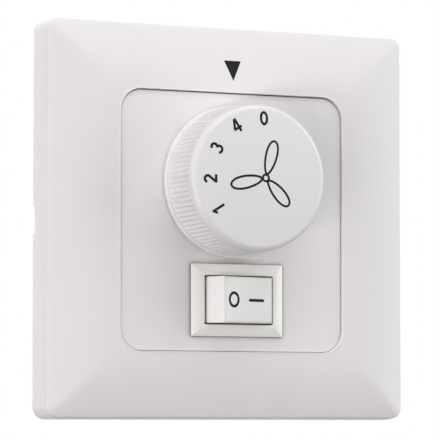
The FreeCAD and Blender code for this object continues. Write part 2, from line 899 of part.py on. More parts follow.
def make_rotary_rotor():
    body = new_body("rotary_rotor", up=s.knob_up)
    star = drawing(body, offset=star_rear)
    pad(body, circle(star, s.star_radius), s.star_thick)
    notch = drawing(body, offset=star_rear)
    mouth = s.star_radius + s.notch_depth
    bottom = s.star_radius - s.notch_depth
    outline(notch, [(0, bottom), (s.notch_half * 2, mouth), (-s.notch_half * 2, mouth)])
    repeat_round(body, pocket(body, notch, s.star_thick, True), s.star_notches)
    pad(body, circle(drawing(body, offset=rotor_rear), s.carrier_radius), s.carrier_thick)
    bore = s.shaft_radius + s.running_clear
    flat = s.tail_flat + s.running_clear
    reach = (bore * bore - flat * flat).root()
    hole = drawing(body, offset=rotor_rear)
    outline(hole, [(-reach, flat, bore, 1), (0, -bore, bore, 1), (reach, flat)])
    pocket(body, hole, s.star_thick + s.carrier_thick, True)


def make_detent_spring():
    body = new_body("detent_spring", up=s.knob_up)
    low = s.star_radius + s.spring_lift
    high = low + s.spring_thick
    half = s.case_side / 2 - s.case_wall - s.spring_lift
    bump = s.spring_bump
    slope = bump * 1.2
    tip = s.spring_thick / 2
    strip = drawing(body, offset=star_rear + (s.star_thick - s.spring_width) / 2)
    corners = [
        (-half, low),
        (-slope - tip, low),
        (-tip, low - bump),
        (tip, low - bump),
        (slope + tip, low),
        (half, low),
        (half, high),
        (slope + tip - s.spring_thick / 2, high),
        (0, high - bump + s.spring_thick / 2),
        (-slope - tip + s.spring_thick / 2, high),
        (-half, high),
    ]
    pad(body, outline(strip, corners), s.spring_width)


def make_wiper_contact():
    body = new_body("wiper_contact", up=s.knob_up)
    rear = rotor_rear - s.wiper_thick
    hub = drawing(body, offset=rear)
    circle(hub, s.ring_outer)
    circle(hub, s.shaft_radius + s.running_clear)
    pad(body, hub, s.wiper_thick)
    cosine, sine = s.off_angle.cos(), s.off_angle.sin()
    near, far = (s.ring_inner + s.ring_outer) / 2, s.pad_circle + s.wiper_width / 2
    half = s.wiper_width / 2
    arm = drawing(body, offset=rear)
    corners = [(near, -half), (far, -half), (far, half), (near, half)]
    outline(arm, [(cosine * r - sine * w, sine * r + cosine * w) for r, w in corners])
    pad(body, arm, s.wiper_thick)
    dimples = drawing(body, offset=wiper_tip)
    for r in (near, s.pad_circle):
        circle(dimples, s.dimple_radius, cosine * r, sine * r)
    pad(body, dimples, rear - wiper_tip)


def make_speed_contacts():
    pin_length = base_front - s.board_out + s.pin_tail
    for step, (x, y) in enumerate(contact_spots()[:4], start=1):
        name = f"speed_contact_{5 - step}"
        up = s.knob_up + y
        pad_disc = rod(name + "_pad", s.pad_radius, s.pad_thick, x, up, base_front)
        pin = rod(name + "_pin", s.pin_radius, pin_length, x, up, s.board_out - s.pin_tail)
        keep(joined(name, [pad_disc, pin]), name)


def make_common_contact():
    body = new_body("common_contact", up=s.knob_up)
    ring = drawing(body, offset=base_front)
    circle(ring, s.ring_outer)
    circle(ring, s.ring_inner)
    pad(body, ring, s.pad_thick)
    x, y = contact_spots()[4]
    pin = drawing(body, offset=s.board_out - s.pin_tail)
    pad(body, circle(pin, s.pin_radius, x, y), base_front - s.board_out + s.pin_tail)


# Rocker switch


def make_rocker_housing():
    body = new_body("rocker_housing", s.rocker_across, s.rocker_up)
    pad(body, rectangle(drawing(body, offset=rocker_rear), s.rocker_width, s.rocker_height), s.rocker_depth)
    pad(body, rectangle(drawing(body, offset=s.plate_front), s.bezel_width, s.bezel_height), s.bezel_edge)
    low = drawing(body, offset=s.plate_front + s.bezel_edge)
    high = drawing(body, offset=mouth_rim)
    land = s.bezel_land * 2
    rectangle(low, s.bezel_width, s.bezel_height)
    rectangle(high, s.mouth_width + land, s.mouth_height + land)
    bevel = feature(body, "AdditiveLoft", low)
    bevel.Sections = [high]
    bevel.Ruled = True
    cavity = drawing(body, offset=mouth_rim)
    depth = mouth_rim - rocker_rear - s.rocker_floor
    pocket(body, rectangle(cavity, s.mouth_width, s.mouth_height), depth)
    axle = drawing(body, "XZ_Plane", s.rocker_height / 2)
    pocket(body, circle(axle, s.axle_radius + s.running_clear, 0, pivot_out), s.rocker_height)
    tabs = drawing(body, offset=rocker_rear + s.rocker_floor)
    clear = s.tab_clear * 2
    for x in (as_size(0), -s.contact_reach):
        rectangle(tabs, s.tab_thick + clear, s.tab_neck + clear, x, 0)
    pocket(body, tabs, s.rocker_floor)
    wings = drawing(body, "XZ_Plane", -s.snap_width / 2)
    top = plate_rear - s.snap_clear
    side = s.rocker_width / 2
    for sign in (1, -1):
        tip = (side + s.snap_reach) * sign
        outline(wings, [(side * sign, top - s.snap_length), (tip, top), (side * sign, top)])
    pad(body, wings, s.snap_width)


def make_rocker_button():
    body = tilted_body("rocker_button", pivot_out, s.rocker_tilt)
    height = s.mouth_height - s.button_clear * 2
    top, waist, foot = s.button_top / 2, s.button_waist / 2, s.button_foot / 2
    dish = (top * top + s.button_dish * s.button_dish) / (s.button_dish * 2)
    profile = [
        (-top, -s.button_rise, dish, -1),
        (top, -s.button_rise),
        (waist, 0),
        (foot, s.button_drop),
        (-foot, s.button_drop),
        (-waist, 0),
    ]
    pad(body, outline(drawing(body, offset=-height / 2), profile), height)
    rim = -s.button_rise.value
    limit = s.button_round.value

    def top_edge(edge):
        return edge.BoundBox.YMax < rim + limit

    round_edges(body, s.button_round, top_edge)

    # Hollow underside, stem for spring and plunger, axle stubs
    wall = s.button_wall
    ceiling = wall - s.button_rise
    inside = [
        (-top + wall, ceiling),
        (top - wall, ceiling),
        (waist - wall, 0),
        (foot - wall, s.button_drop),
        (wall - foot, s.button_drop),
        (wall - waist, 0),
    ]
    hollow = drawing(body, offset=wall - height / 2)
    pocket(body, outline(hollow, inside), height - wall * 2, True)
    stem = drawing(body, "XZ_Plane", -s.stem_drop)
    pad(body, circle(stem, s.stem_radius), s.stem_drop - ceiling)
    bore = drawing(body, "XZ_Plane", -s.stem_drop)
    pocket(body, circle(bore, s.stem_bore), s.stem_drop - ceiling, True)
    for start in (height / 2 - wall, -height / 2 - s.axle_length):
        stub = drawing(body, offset=start)
        pad(body, circle(stub, s.axle_radius), s.axle_length + wall)


def make_rocker_plunger():
    body = tilted_body("rocker_plunger", pivot_out, s.rocker_tilt)
    radius = s.stem_bore - s.running_clear
    rear = s.plunger_reach - s.plunger_length
    tip = s.plunger_tip
    shoulder = s.plunger_reach - tip
    section = [
        (0, rear),
        (radius, rear),
        (radius, shoulder - tip),
        (tip, shoulder, tip, 1),
        (0, s.plunger_reach),
    ]
    revolve(body, outline(drawing(body), section))


def make_rocker_spring():
    body = tilted_body("rocker_spring", pivot_out, s.rocker_tilt)
    ceiling = s.button_wall - s.button_rise
    rear = s.plunger_reach - s.plunger_length
    wire = s.coil_wire / 2
    start = ceiling + wire + s.running_clear
    length = rear - ceiling - s.coil_wire - s.running_clear * 2
    sketch = drawing(body)
    circle(sketch, wire, s.stem_bore - s.coil_clear - wire, start)
    coil = feature(body, "AdditiveHelix", sketch)
    coil.ReferenceAxis = (sketch, ["V_Axis"])
    coil.Mode = "height-turns-angle"
    tie(coil, "Height", length)
    tie(coil, "Turns", s.coil_turns)


def make_contact_blade():
    """See-saw blade that rocks on the round nose of the common terminal."""
    body = tilted_body("contact_blade", blade_axis, -s.blade_tilt)
    strip = drawing(body, offset=-s.blade_width / 2)
    half, low, high = s.blade_half, -blade_lift, -blade_lift - s.blade_thick
    pad(body, outline(strip, [(-half, high), (half, high), (half, low), (-half, low)]), s.blade_width)
    rivet = drawing(body, "XZ_Plane", blade_lift - s.contact_thick)
    pad(body, circle(rivet, s.contact_radius, -s.contact_reach, 0), s.contact_thick)


def make_rocker_terminal(label, across, top):
    """A flat terminal that shoulders against the rocker's floor from behind."""
    body = new_body(label, across, s.rocker_up)
    blade = drawing(body, "YZ_Plane", -s.tab_thick / 2)
    half, neck = s.tab_width / 2, s.tab_neck / 2
    nose = s.tab_thick
    corners = [
        (-neck, tab_end),
        (neck, tab_end),
        (half, tab_end + nose),
        (half, rocker_rear),
        (neck, rocker_rear),
        (neck, top),
        (-neck, top),
        (-neck, rocker_rear),
        (-half, rocker_rear),
        (-half, tab_end + nose),
    ]
    pad(body, outline(blade, corners), s.tab_thick)
    return body


def make_rocker_terminals():
    common = make_rocker_terminal("rocker_terminal_common", s.rocker_across, blade_axis)
    half = s.tab_thick / 2
    nose = drawing(common, "XZ_Plane", -s.tab_neck / 2)
    dome = [(half, blade_axis, half, 1), (0, blade_axis + half, half, 1), (-half, blade_axis)]
    pad(common, outline(nose, dome), s.tab_neck)
    drop = s.blade_tilt.sin() * (s.contact_reach + s.contact_radius) + s.contact_thick
    face = blade_out - drop - s.contact_gap
    label = "rocker_terminal_switched"
    body = make_rocker_terminal(label, contact_across, face - s.contact_thick)
    button = drawing(body, offset=face - s.contact_thick)
    pad(body, circle(button, s.contact_radius), s.contact_thick)


def make_rocker_leads():
    leads = (("rocker_lead_common", s.rocker_across), ("rocker_lead_switched", contact_across))
    for label, across in leads:
        body = new_body(label, across, s.rocker_up)
        bend, reach = s.lead_bend, s.lead_reach
        middle = (tab_end + board_front) / 2
        route = [
            (0, tab_end),
            (0, middle + bend, bend, 1),
            (bend, middle),
            (reach - bend, middle, bend, -1),
            (reach, middle - bend),
            (reach, board_front),
        ]
        path = outline(drawing(body, "YZ_Plane"), route, closed=False)
        sheath = circle(drawing(body, offset=tab_end), s.lead_radius)
        lead = feature(body, "AdditivePipe", sheath)
        lead.Spine = (path, [f"Edge{i}" for i in range(1, len(route))])


# Steel plate and rear housing


def make_support_plate():
    body = new_body("support_plate")
    pad(body, rounded(drawing(body), support_side, support_side, s.support_corner), s.support_thick)
    lips = drawing(body)
    edge = support_side / 2 - s.support_thick / 2
    for sign in (-1, 1):
        rectangle(lips, s.support_lip_length, s.support_thick, 0, edge * sign)
    pad(body, lips, s.support_lip)
    holes = drawing(body, offset=s.support_thick)
    circle(holes, s.bushing_radius + s.hole_clear, 0, s.knob_up)
    room = (s.snap_reach + s.plate_gap) * 2
    rectangle(holes, s.rocker_width + room, s.rocker_height + room, s.rocker_across, s.rocker_up)
    for sign in (-1, 1):
        circle(holes, s.screw_radius + s.hole_clear, boss_across * sign, 0)
    pocket(body, holes, s.support_thick)
    for sign in (-1, 1):
        across = drawing(body, offset=s.support_thick)
        slot(across, s.screw_pitch / 2 * sign, 0, False)
        pocket(body, across, s.support_thick)
        upright = drawing(body, offset=s.support_thick)
        slot(upright, 0, s.screw_pitch / 2 * sign, True)
        pocket(body, upright, s.support_thick)


def bay_outline(sketch, half, low, corner):
    """Squared lower end of the housing, round the rocker and the terminal block."""
    corners = [
        (-half, 0),
        (-half, corner - low, corner, 1),
        (corner - half, -low),
        (half - corner, -low, corner, 1),
        (half, corner - low),
        (half, 0),
    ]
    return outline(sketch, corners)


def make_rear_housing():
    body = new_body("rear_housing")
    wall = s.housing_wall
    room = s.housing_depth - wall
    bay_half = s.block_width / 2 + s.bay_gap
    bay_low = s.rocker_height / 2 - s.rocker_up + s.bay_gap
    pad(body, circle(drawing(body, offset=-s.housing_depth), s.housing_radius), s.housing_depth)
    bay = drawing(body, offset=-s.housing_depth)
    pad(body, bay_outline(bay, bay_half + wall, bay_low + wall, s.bay_gap + wall), s.housing_depth)
    pocket(body, bay_outline(drawing(body), bay_half, bay_low, s.bay_gap), room)
    pocket(body, circle(drawing(body), housing_inner), room)
    for sign in (-1, 1):
        boss = drawing(body, offset=-s.boss_depth)
        pad(body, circle(boss, s.boss_radius, boss_across * sign, 0), s.boss_depth)
        web = drawing(body, offset=-s.boss_depth)
        run = housing_inner - boss_across
        rectangle(web, run, s.boss_radius * 2, (boss_across + run / 2) * sign, 0)
        pad(body, web, s.boss_depth)
        post = drawing(body, offset=housing_floor)
        pad(body, circle(post, s.post_radius, post_across * sign, post_up), s.board_out - housing_floor)
    bosses = drawing(body)
    posts = drawing(body, offset=s.board_out)
    for sign in (-1, 1):
        circle(bosses, s.screw_radius + s.thread_clear, boss_across * sign, 0)
        circle(posts, s.board_screw_radius + s.thread_clear, post_across * sign, post_up)
    pocket(body, bosses, s.boss_depth)
    pocket(body, posts, s.board_screw_length)

    # Way in for the supply wires from below, and for a screwdriver from behind
    window = drawing(body, "XZ_Plane", s.housing_radius * 1.2)
    rectangle(window, s.window_width, s.window_height, 0, cage_out)
    pocket(body, window, s.housing_radius * 0.7)
    drivers = drawing(body, offset=housing_floor)
    for pole in (-1, 0, 1):
        circle(drivers, s.clamp_head + s.driver_clear, s.pole_pitch * pole, clamp_up())
    pocket(body, drivers, wall)


def pan_screw(name, across, up, out, radius, length, head, head_thick):
    """A round-headed screw with a cross slot, its head seated at out."""
    shank = rod(name + "_shank", radius, length, across, up, out - length)
    cap = rod(name + "_head", head, head_thick, across, up, out)
    depth = head_thick / 2
    wide, narrow = head * 1.2, head_thick / 3
    cross = [
        slab(name + "_cross", wide, narrow, depth, across, up, out + depth),
        slab(name + "_bar", narrow, wide, depth, across, up, out + depth),
    ]
    return less(name, joined(name + "_blank", [shank, cap]), cross)


def make_housing_screws():
    sizes = (s.screw_radius, s.screw_length, s.screw_head, s.screw_head_thick)
    pieces = []
    for name, sign in (("housing_screw_left", -1), ("housing_screw_right", 1)):
        pieces.append(pan_screw(name, boss_across * sign, as_size(0), s.support_thick, *sizes))
    grouped("housing_screws", pieces)


def make_board_screws():
    head_thick = s.screw_head_thick * s.board_screw_head / s.screw_head
    length = s.board_screw_length + s.board_thick - s.pin_tail
    sizes = (s.board_screw_radius, length, s.board_screw_head, head_thick)
    pieces = []
    for name, sign in (("board_screw_left", -1), ("board_screw_right", 1)):
        pieces.append(pan_screw(name, post_across * sign, post_up, board_front, *sizes))
    grouped("board_screws", pieces)


# Circuit board and its components


def capacitor_up(place):
    return s.capacitor_first + s.capacitor_pitch * place


def clamp_up():
    """Height of the terminal screws: the middle of the cages."""
    return s.block_up - s.block_height / 2 + s.cage_inset + s.cage_length / 2


def make_circuit_board():
    body = new_body("circuit_board")
    board = drawing(body, offset=s.board_out)
    pad(body, circle(board, housing_inner - s.board_gap), s.board_thick)
    holes = drawing(body, offset=board_front)
    for x, y in contact_spots():
        circle(holes, s.pin_radius + s.pin_clear, x, s.knob_up + y)
    for sign in (-1, 1):
        circle(holes, s.board_screw_radius + s.hole_clear, post_across * sign, post_up)
        for place in range(3):
            pin = s.capacitor_pin_pitch / 2 * sign
            circle(holes, s.pin_radius + s.pin_clear, pin, capacitor_up(place))
        for end in (-1, 1):
            wire = s.resistor_wire + s.pin_clear
            circle(holes, wire, s.resistor_across * sign, s.resistor_span / 2 * end)
    for pole in (-1, 0, 1):
        circle(holes, s.pin_radius + s.pin_clear, s.pole_pitch * pole, clamp_up())
    pocket(body, holes, s.board_thick)


def make_capacitors():
    """Box film capacitors on low feet behind the board, with pins through it."""
    body_front = s.board_out - s.capacitor_foot
    for place in range(3):
        label = f"capacitor_{place + 1}"
        body = new_body(label, up=capacitor_up(place))
        box = drawing(body, offset=capacitor_rear)
        rounded(box, s.capacitor_width, s.capacitor_depth, s.capacitor_round)
        pad(body, box, body_front - capacitor_rear)
        feet = drawing(body, offset=body_front)
        foot = s.capacitor_foot
        for sign in (-1, 1):
            rectangle(feet, foot, s.capacitor_depth / 2, (s.capacitor_width / 2 - foot) * sign, 0)
        pad(body, feet, foot)
        pins = drawing(body, offset=body_front)
        for sign in (-1, 1):
            circle(pins, s.pin_radius, s.capacitor_pin_pitch / 2 * sign, 0)
        pad(body, pins, board_front + s.pin_tail - body_front)


def make_resistors():
    """Axial resistors behind the board, their wires bent into it."""
    for number, sign in ((1, -1), (2, 1)):
        label = f"resistor_{number}"
        across = s.resistor_across * sign
        axis = s.board_out - s.resistor_lift
        span, length = s.resistor_span, s.resistor_length
        pieces = [
            upright_rod(label + "_body", s.resistor_radius, length, across, -length / 2, axis),
            upright_rod(label + "_wire", s.resistor_wire, span, across, -span / 2, axis),
        ]
        leg = board_front + s.pin_tail - axis + s.resistor_wire
        for end in (-1, 1):
            name = f"{label}_leg_{end + 2}"
            pieces.append(rod(name, s.resistor_wire, leg, across, span / 2 * end, axis - s.resistor_wire))
        keep(joined(label, pieces), label)


def make_terminal_block():
    body = new_body("terminal_block", up=s.block_up)
    block = drawing(body, offset=block_rear)
    pad(body, rectangle(block, s.block_width, s.block_height), s.board_out - block_rear)
    room = s.cage_width + s.cage_clear * 2
    wells = drawing(body, "XZ_Plane", s.block_height / 2)
    for pole in (-1, 0, 1):
        rectangle(wells, room, room, s.pole_pitch * pole, cage_out)
    pocket(body, wells, s.cage_inset + s.cage_length + s.cage_clear)
    middle = clamp_up() - s.block_up
    shafts = drawing(body, offset=block_rear)
    tails = drawing(body, offset=s.board_out)
    for pole in (-1, 0, 1):
        circle(shafts, s.clamp_head + s.pin_clear, s.pole_pitch * pole, middle)
        circle(tails, s.pin_radius + s.pin_clear, s.pole_pitch * pole, middle)
    pocket(body, shafts, cage_out - block_rear, True)
    pocket(body, tails, s.board_out - cage_out)


def make_terminal_cages():
    pieces = []
    wide, long = s.cage_width, s.cage_length
    half = wide / 2
    for pole in (-1, 0, 1):
        name = f"terminal_cage_{pole + 2}"
        x = s.pole_pitch * pole
        gap = wide - s.cage_wall * 2
        shell = slab(name + "_shell", wide, long, wide, x, clamp_up(), cage_out - half)
        way = slab(name + "_way", gap, long, gap, x, clamp_up(), cage_out - gap / 2)
        tapped = rod(name + "_hole", s.clamp_radius + s.thread_clear, half, x, clamp_up(), cage_out - half)
        pin_foot = cage_out + half - s.cage_wall
        pin = rod(name + "_pin", s.pin_radius, board_front + s.pin_tail - pin_foot, x, clamp_up(), pin_foot)
        pieces.append(joined(name, [less(name + "_box", shell, [way, tapped]), pin]))
    grouped("terminal_cages", pieces)


def make_terminal_screws():
    pieces = []
    for pole in (-1, 0, 1):
        name = f"terminal_screw_{pole + 2}"
        x = s.pole_pitch * pole
        seat = cage_out - s.cage_width / 2 - s.clamp_head_thick
        depth = s.clamp_head_thick / 2
        rear = seat - s.clamp_head_thick
        head = rod(name + "_head", s.clamp_head, s.clamp_head_thick, x, clamp_up(), rear)
        length = s.cage_width / 2 + s.clamp_head_thick
        shank = rod(name + "_shank", s.clamp_radius, length, x, clamp_up(), seat)
        nick = slab(name + "_nick", s.clamp_head * 2.2, s.clamp_slot, depth, x, clamp_up(), rear)
        pieces.append(less(name, joined(name + "_blank", [head, shank]), [nick]))
    grouped("terminal_screws", pieces)


def build():
    make_cover_frame()
    make_centre_plate()
    make_speed_knob()
    make_knob_leaf_clip()
    make_control_shaft()
    make_shaft_circlip()
    make_threaded_bushing()
    make_nut("plate_nut", s.plate_front + s.washer_thick)
    make_nut("mechanism_nut", s.support_thick)
    make_plate_washer()
    make_rotary_case()
    make_rotary_base()
    make_rotary_rotor()
    make_detent_spring()
    make_wiper_contact()
    make_speed_contacts()
    make_common_contact()
    make_rocker_housing()
    make_rocker_button()
    make_rocker_plunger()
    make_rocker_spring()
    make_contact_blade()
    make_rocker_terminals()
    make_rocker_leads()
    make_support_plate()
    make_rear_housing()
    make_housing_screws()
    make_circuit_board()
    make_board_screws()
    make_capacitors()
    make_resistors()
    make_terminal_block()
    make_terminal_cages()
    make_terminal_screws()
    doc.recompute()


def check():
    """Stop before anything is written if an object failed."""
    for item in doc.Objects:
        if "Invalid" in item.State or "Error" in item.State:
            raise RuntimeError(f"{item.Label} failed: {item.State}")
    for item in subparts:
        if item.Shape.isNull() or not item.Shape.isValid() or not item.Shape.Solids:
            raise RuntimeError(f"{item.Label} has no valid solid")


def write():
    os.makedirs("parts", exist_ok=True)
    for item in subparts:
        item.Shape.exportStep(f"parts/{item.Label}.step")


build()
check()
write()
for item in subparts:
    print(f"{item.Label}: {len(item.Shape.Solids)} solid, {item.Shape.Volume:.1f} mm3")
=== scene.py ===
"""Finish and lighting of the fan speed control switch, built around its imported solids.

+X is right, +Y goes into the wall, +Z is up. Sizes of the pieces and places on the front are in millimetres,
a place being (across, up, out) with out measured from the wall. The studio is in metres, and the scales of
patterns are per metre.
"""
import json
import math

import bmesh
import bpy
from mathutils import Matrix, Vector


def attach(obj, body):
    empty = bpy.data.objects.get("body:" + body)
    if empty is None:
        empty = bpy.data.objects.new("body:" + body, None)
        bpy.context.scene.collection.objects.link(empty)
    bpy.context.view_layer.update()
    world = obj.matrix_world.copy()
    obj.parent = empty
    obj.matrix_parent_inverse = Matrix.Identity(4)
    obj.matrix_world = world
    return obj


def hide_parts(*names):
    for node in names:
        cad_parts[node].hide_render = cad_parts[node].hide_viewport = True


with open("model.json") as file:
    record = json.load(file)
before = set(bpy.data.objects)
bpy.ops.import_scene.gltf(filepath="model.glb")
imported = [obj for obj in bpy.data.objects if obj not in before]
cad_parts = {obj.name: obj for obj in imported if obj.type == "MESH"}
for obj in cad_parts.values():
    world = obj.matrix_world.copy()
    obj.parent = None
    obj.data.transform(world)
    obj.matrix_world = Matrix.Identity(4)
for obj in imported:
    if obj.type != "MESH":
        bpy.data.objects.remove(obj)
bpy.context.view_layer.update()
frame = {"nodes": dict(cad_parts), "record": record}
nodes = frame["nodes"]

MM = 0.001

# Cover frame, with its corner a little tighter than the solid's
FRAME_SIDE = 82.0
FRAME_CORNER = 2.6
FRAME_EDGE = 7.3
FRAME_LIP = 9.7
REAR_BREAK = 0.2
LEAN_START = 3.6
SIDE_LEAN = 0.3
EDGE_ROUND = 0.55
PILLOW_RADIUS = 50.0
MITRE_BLEND = 0.25
LIP_ROUND = 0.2
SEAT_WIDTH = 50.92
SEAT_HEIGHT = 53.92
SEAT_CORNER = 4.66
LEDGE_WIDTH = 47.4
LEDGE_HEIGHT = 50.4
LEDGE_CORNER = 2.9
LEDGE_FRONT = 7.2
LEDGE_BACK = 5.8
COLLAR_WALL = 1.8
COLLAR_FOOT = 1.2
POCKET_REACH = 6.0
POCKET_CORNER = 6.0
POCKET_FRONT = 7.2
HOLLOW_FRONT = 5.3
HOLLOW_CORNER = 1.4
SIDE_WALL = 2.0
PRY_LENGTH = 6.5
PRY_DEPTH = 1.0

# Knob, with its shoulder a little tighter than the solid's
KNOB_UP = 8.3
KNOB_BASE = 9.5
KNOB_FACE = 22.1
KNOB_DOME = 0.7
KNOB_HOLLOW = 12.7
KNOB_ROOF = 20.1
FACE_RADIUS = 13.8
SHOULDER = 1.3
FLANGE_RADIUS = 15.9
FLANGE_TOP = 10.6
FLANGE_BREAK = 0.2
SKIRT_FOOT = 15.4
SKIRT_HEAD = 15.1
FLUTE_FOOT = 10.8
FLUTE_HEAD = 20.1
FLUTE_COUNT = 90
FLUTE_DEPTH = 0.42

# Rocker, tilted as it rests
ROCKER_ACROSS = 0.85
ROCKER_UP = -16.3
ROCKER_TILT = math.radians(15)
BEZEL_WIDTH = 21.0
BEZEL_HEIGHT = 15.0
PIVOT_OUT = 8.4
BUTTON_RISE = 4.5
BUTTON_HALF = 6.5
BUTTON_DISH = 0.25

# Half the thickness of the printed ink
INK_HALF = 0.02

# Distance within which points of a mesh are joined
WELD = 0.002

# The part of a noise pattern that most of its values lie in
NOISE_LOW = 0.3
NOISE_HIGH = 0.7


def place(across, up, out):
    """A point on the front, from millimetres to the part's frame."""
    return Vector((across * MM, -out * MM, up * MM))


def put(name, data):
    """A new object in the scene."""
    item = bpy.data.objects.new(name, data)
    bpy.context.scene.collection.objects.link(item)
    return item


# Materials


def new_material(name):
    """A node material with its tree, its shader and the coordinates of the piece."""
    material = bpy.data.materials.new(name)
    material.use_nodes = True
    tree = material.node_tree
    shader = tree.nodes["Principled BSDF"]
    coordinates = tree.nodes.new("ShaderNodeTexCoord")
    return material, tree, shader, coordinates.outputs["Object"]


def noise(tree, vector, scale, detail=2.0, stretch=None):
    """A noise pattern per metre of the piece, stretched along an axis where a tool has left its marks."""
    if stretch:
        mapping = tree.nodes.new("ShaderNodeMapping")
        mapping.inputs["Scale"].default_value = stretch
        tree.links.new(vector, mapping.inputs["Vector"])
        vector = mapping.outputs["Vector"]
    texture = tree.nodes.new("ShaderNodeTexNoise")
    texture.inputs["Scale"].default_value = scale
    texture.inputs["Detail"].default_value = detail
    tree.links.new(vector, texture.inputs["Vector"])
    return texture.outputs["Fac"]


def between(tree, factor, low, high):
    """A number that runs from low to high over the middle of a pattern."""
    spread = tree.nodes.new("ShaderNodeMapRange")
    spread.inputs["From Min"].default_value = NOISE_LOW
    spread.inputs["From Max"].default_value = NOISE_HIGH
    spread.inputs["To Min"].default_value = low
    spread.inputs["To Max"].default_value = high
    tree.links.new(factor, spread.inputs["Value"])
    return spread.outputs["Result"]


def tone(tree, factor, dark, light):
    """A colour that varies between two tones."""
    ramp = tree.nodes.new("ShaderNodeValToRGB")
    ramp.color_ramp.elements[0].position = NOISE_LOW
    ramp.color_ramp.elements[0].color = (*dark, 1)
    ramp.color_ramp.elements[1].position = NOISE_HIGH
    ramp.color_ramp.elements[1].color = (*light, 1)
    tree.links.new(factor, ramp.inputs["Fac"])
    return ramp.outputs["Color"]


def raise_grain(tree, shader, height, depth, strength):
    """Fine relief of the surface, with its depth in millimetres."""
    bump = tree.nodes.new("ShaderNodeBump")
    bump.inputs["Distance"].default_value = depth * MM
    bump.inputs["Strength"].default_value = strength
    tree.links.new(height, bump.inputs["Height"])
    tree.links.new(bump.outputs["Normal"], shader.inputs["Normal"])


def shade(colour, factor):
    """A darker tone of a colour."""
    return tuple(channel * factor for channel in colour)


def rocker_shade_mask(tree, where):
    """1 round the rocker's bezel and 0 further away on the plate: the mask that keeps the plate's painted
    shadow line to the bezel.
    """
    margin = 1.3
    fade_end, fade_start = 1.0, 0.92
    halves = ((BEZEL_WIDTH / 2 + margin) * MM, 1.0, (BEZEL_HEIGHT / 2 + margin) * MM)
    mapping = tree.nodes.new("ShaderNodeMapping")
    mapping.vector_type = "TEXTURE"
    mapping.inputs["Location"].default_value = place(ROCKER_ACROSS, ROCKER_UP, 0)
    mapping.inputs["Scale"].default_value = halves
    tree.links.new(where, mapping.inputs["Vector"])
    aside = tree.nodes.new("ShaderNodeVectorMath")
    aside.operation = "ABSOLUTE"
    tree.links.new(mapping.outputs["Vector"], aside.inputs[0])
    parts = tree.nodes.new("ShaderNodeSeparateXYZ")
    tree.links.new(aside.outputs["Vector"], parts.inputs["Vector"])
    furthest = tree.nodes.new("ShaderNodeMath")
    furthest.operation = "MAXIMUM"
    tree.links.new(parts.outputs["X"], furthest.inputs[0])
    tree.links.new(parts.outputs["Z"], furthest.inputs[1])
    fade = tree.nodes.new("ShaderNodeMapRange")
    fade.inputs["From Min"].default_value = fade_end
    fade.inputs["From Max"].default_value = fade_start
    tree.links.new(furthest.outputs["Value"], fade.inputs["Value"])
    return fade.outputs["Result"]


def paint_corner_shade(tree, colour, dark, reach, share=None):
    """Darken a colour in seams and corners where little light gets in: painted shade, found with an ambient
    occlusion node.
    """
    deep_in_seam, in_the_open = 0.4, 0.98
    corner = tree.nodes.new("ShaderNodeAmbientOcclusion")
    corner.samples = 6
    corner.inputs["Distance"].default_value = reach * MM
    level = tree.nodes.new("ShaderNodeMapRange")
    level.inputs["From Min"].default_value = deep_in_seam
    level.inputs["From Max"].default_value = in_the_open
    level.inputs["To Min"].default_value = dark
    level.inputs["To Max"].default_value = 1.0
    tree.links.new(corner.outputs["AO"], level.inputs["Value"])
    # Painted shade: the colour is multiplied darker where nearby surfaces keep the light out
    corner_shade = tree.nodes.new("ShaderNodeMix")
    corner_shade.data_type = "RGBA"
    corner_shade.blend_type = "MULTIPLY"
    corner_shade.inputs["Factor"].default_value = 1.0
    if share:
        tree.links.new(share, corner_shade.inputs["Factor"])
    tree.links.new(colour, corner_shade.inputs["A"])
    tree.links.new(level.outputs["Result"], corner_shade.inputs["B"])
    return corner_shade.outputs["Result"]


def moulded(name, colour, roughness, grain=0.15, shine=0.5, corner_shade=None, shade_only_near=None):
    """Injection-moulded plastic: faint flow clouds, a fine eroded grain and a slightly uneven gloss.

    Painted shade in the corners is given as the share of the colour that stays there and the reach in
    millimetres; a mask, when given, keeps it to one place.
    """
    cloud_scale, cloud_tone = 55.0, 0.985
    gloss_scale, gloss_spread = 240.0, 0.02
    grain_scale, grain_depth = 5200.0, 0.02
    material, tree, shader, where = new_material(name)
    clouds = noise(tree, where, cloud_scale, detail=3.0)
    colours = tone(tree, clouds, shade(colour, cloud_tone), colour)
    # Painted shade in seams and corners, kept to the mask where one is given
    if corner_shade:
        colours = paint_corner_shade(tree, colours, *corner_shade, shade_only_near and shade_only_near(tree, where))
    tree.links.new(colours, shader.inputs["Base Color"])
    gloss = noise(tree, where, gloss_scale, detail=3.0)
    uneven = between(tree, gloss, roughness - gloss_spread, roughness + gloss_spread)
    tree.links.new(uneven, shader.inputs["Roughness"])
    raise_grain(tree, shader, noise(tree, where, grain_scale), grain_depth, grain)
    shader.inputs["IOR"].default_value = 1.49
    shader.inputs["Specular IOR Level"].default_value = shine
    return material


def plated(name, colour, roughness, stretch, scratch=0.25):
    """Plated or turned metal with fine tool marks along one direction and cloudy plating."""
    mark_scale, mark_depth = 900.0, 0.03
    cloud_scale, cloud_tone = 130.0, 0.82
    smoother, rougher = 0.08, 0.1
    material, tree, shader, where = new_material(name)
    marks = noise(tree, where, mark_scale, detail=4.0, stretch=stretch)
    clouds = noise(tree, where, cloud_scale, detail=3.0)
    tree.links.new(tone(tree, clouds, shade(colour, cloud_tone), colour), shader.inputs["Base Color"])
    uneven = between(tree, marks, roughness - smoother, roughness + rougher)
    tree.links.new(uneven, shader.inputs["Roughness"])
    raise_grain(tree, shader, marks, mark_depth, scratch)
    shader.inputs["Metallic"].default_value = 1.0
    return material


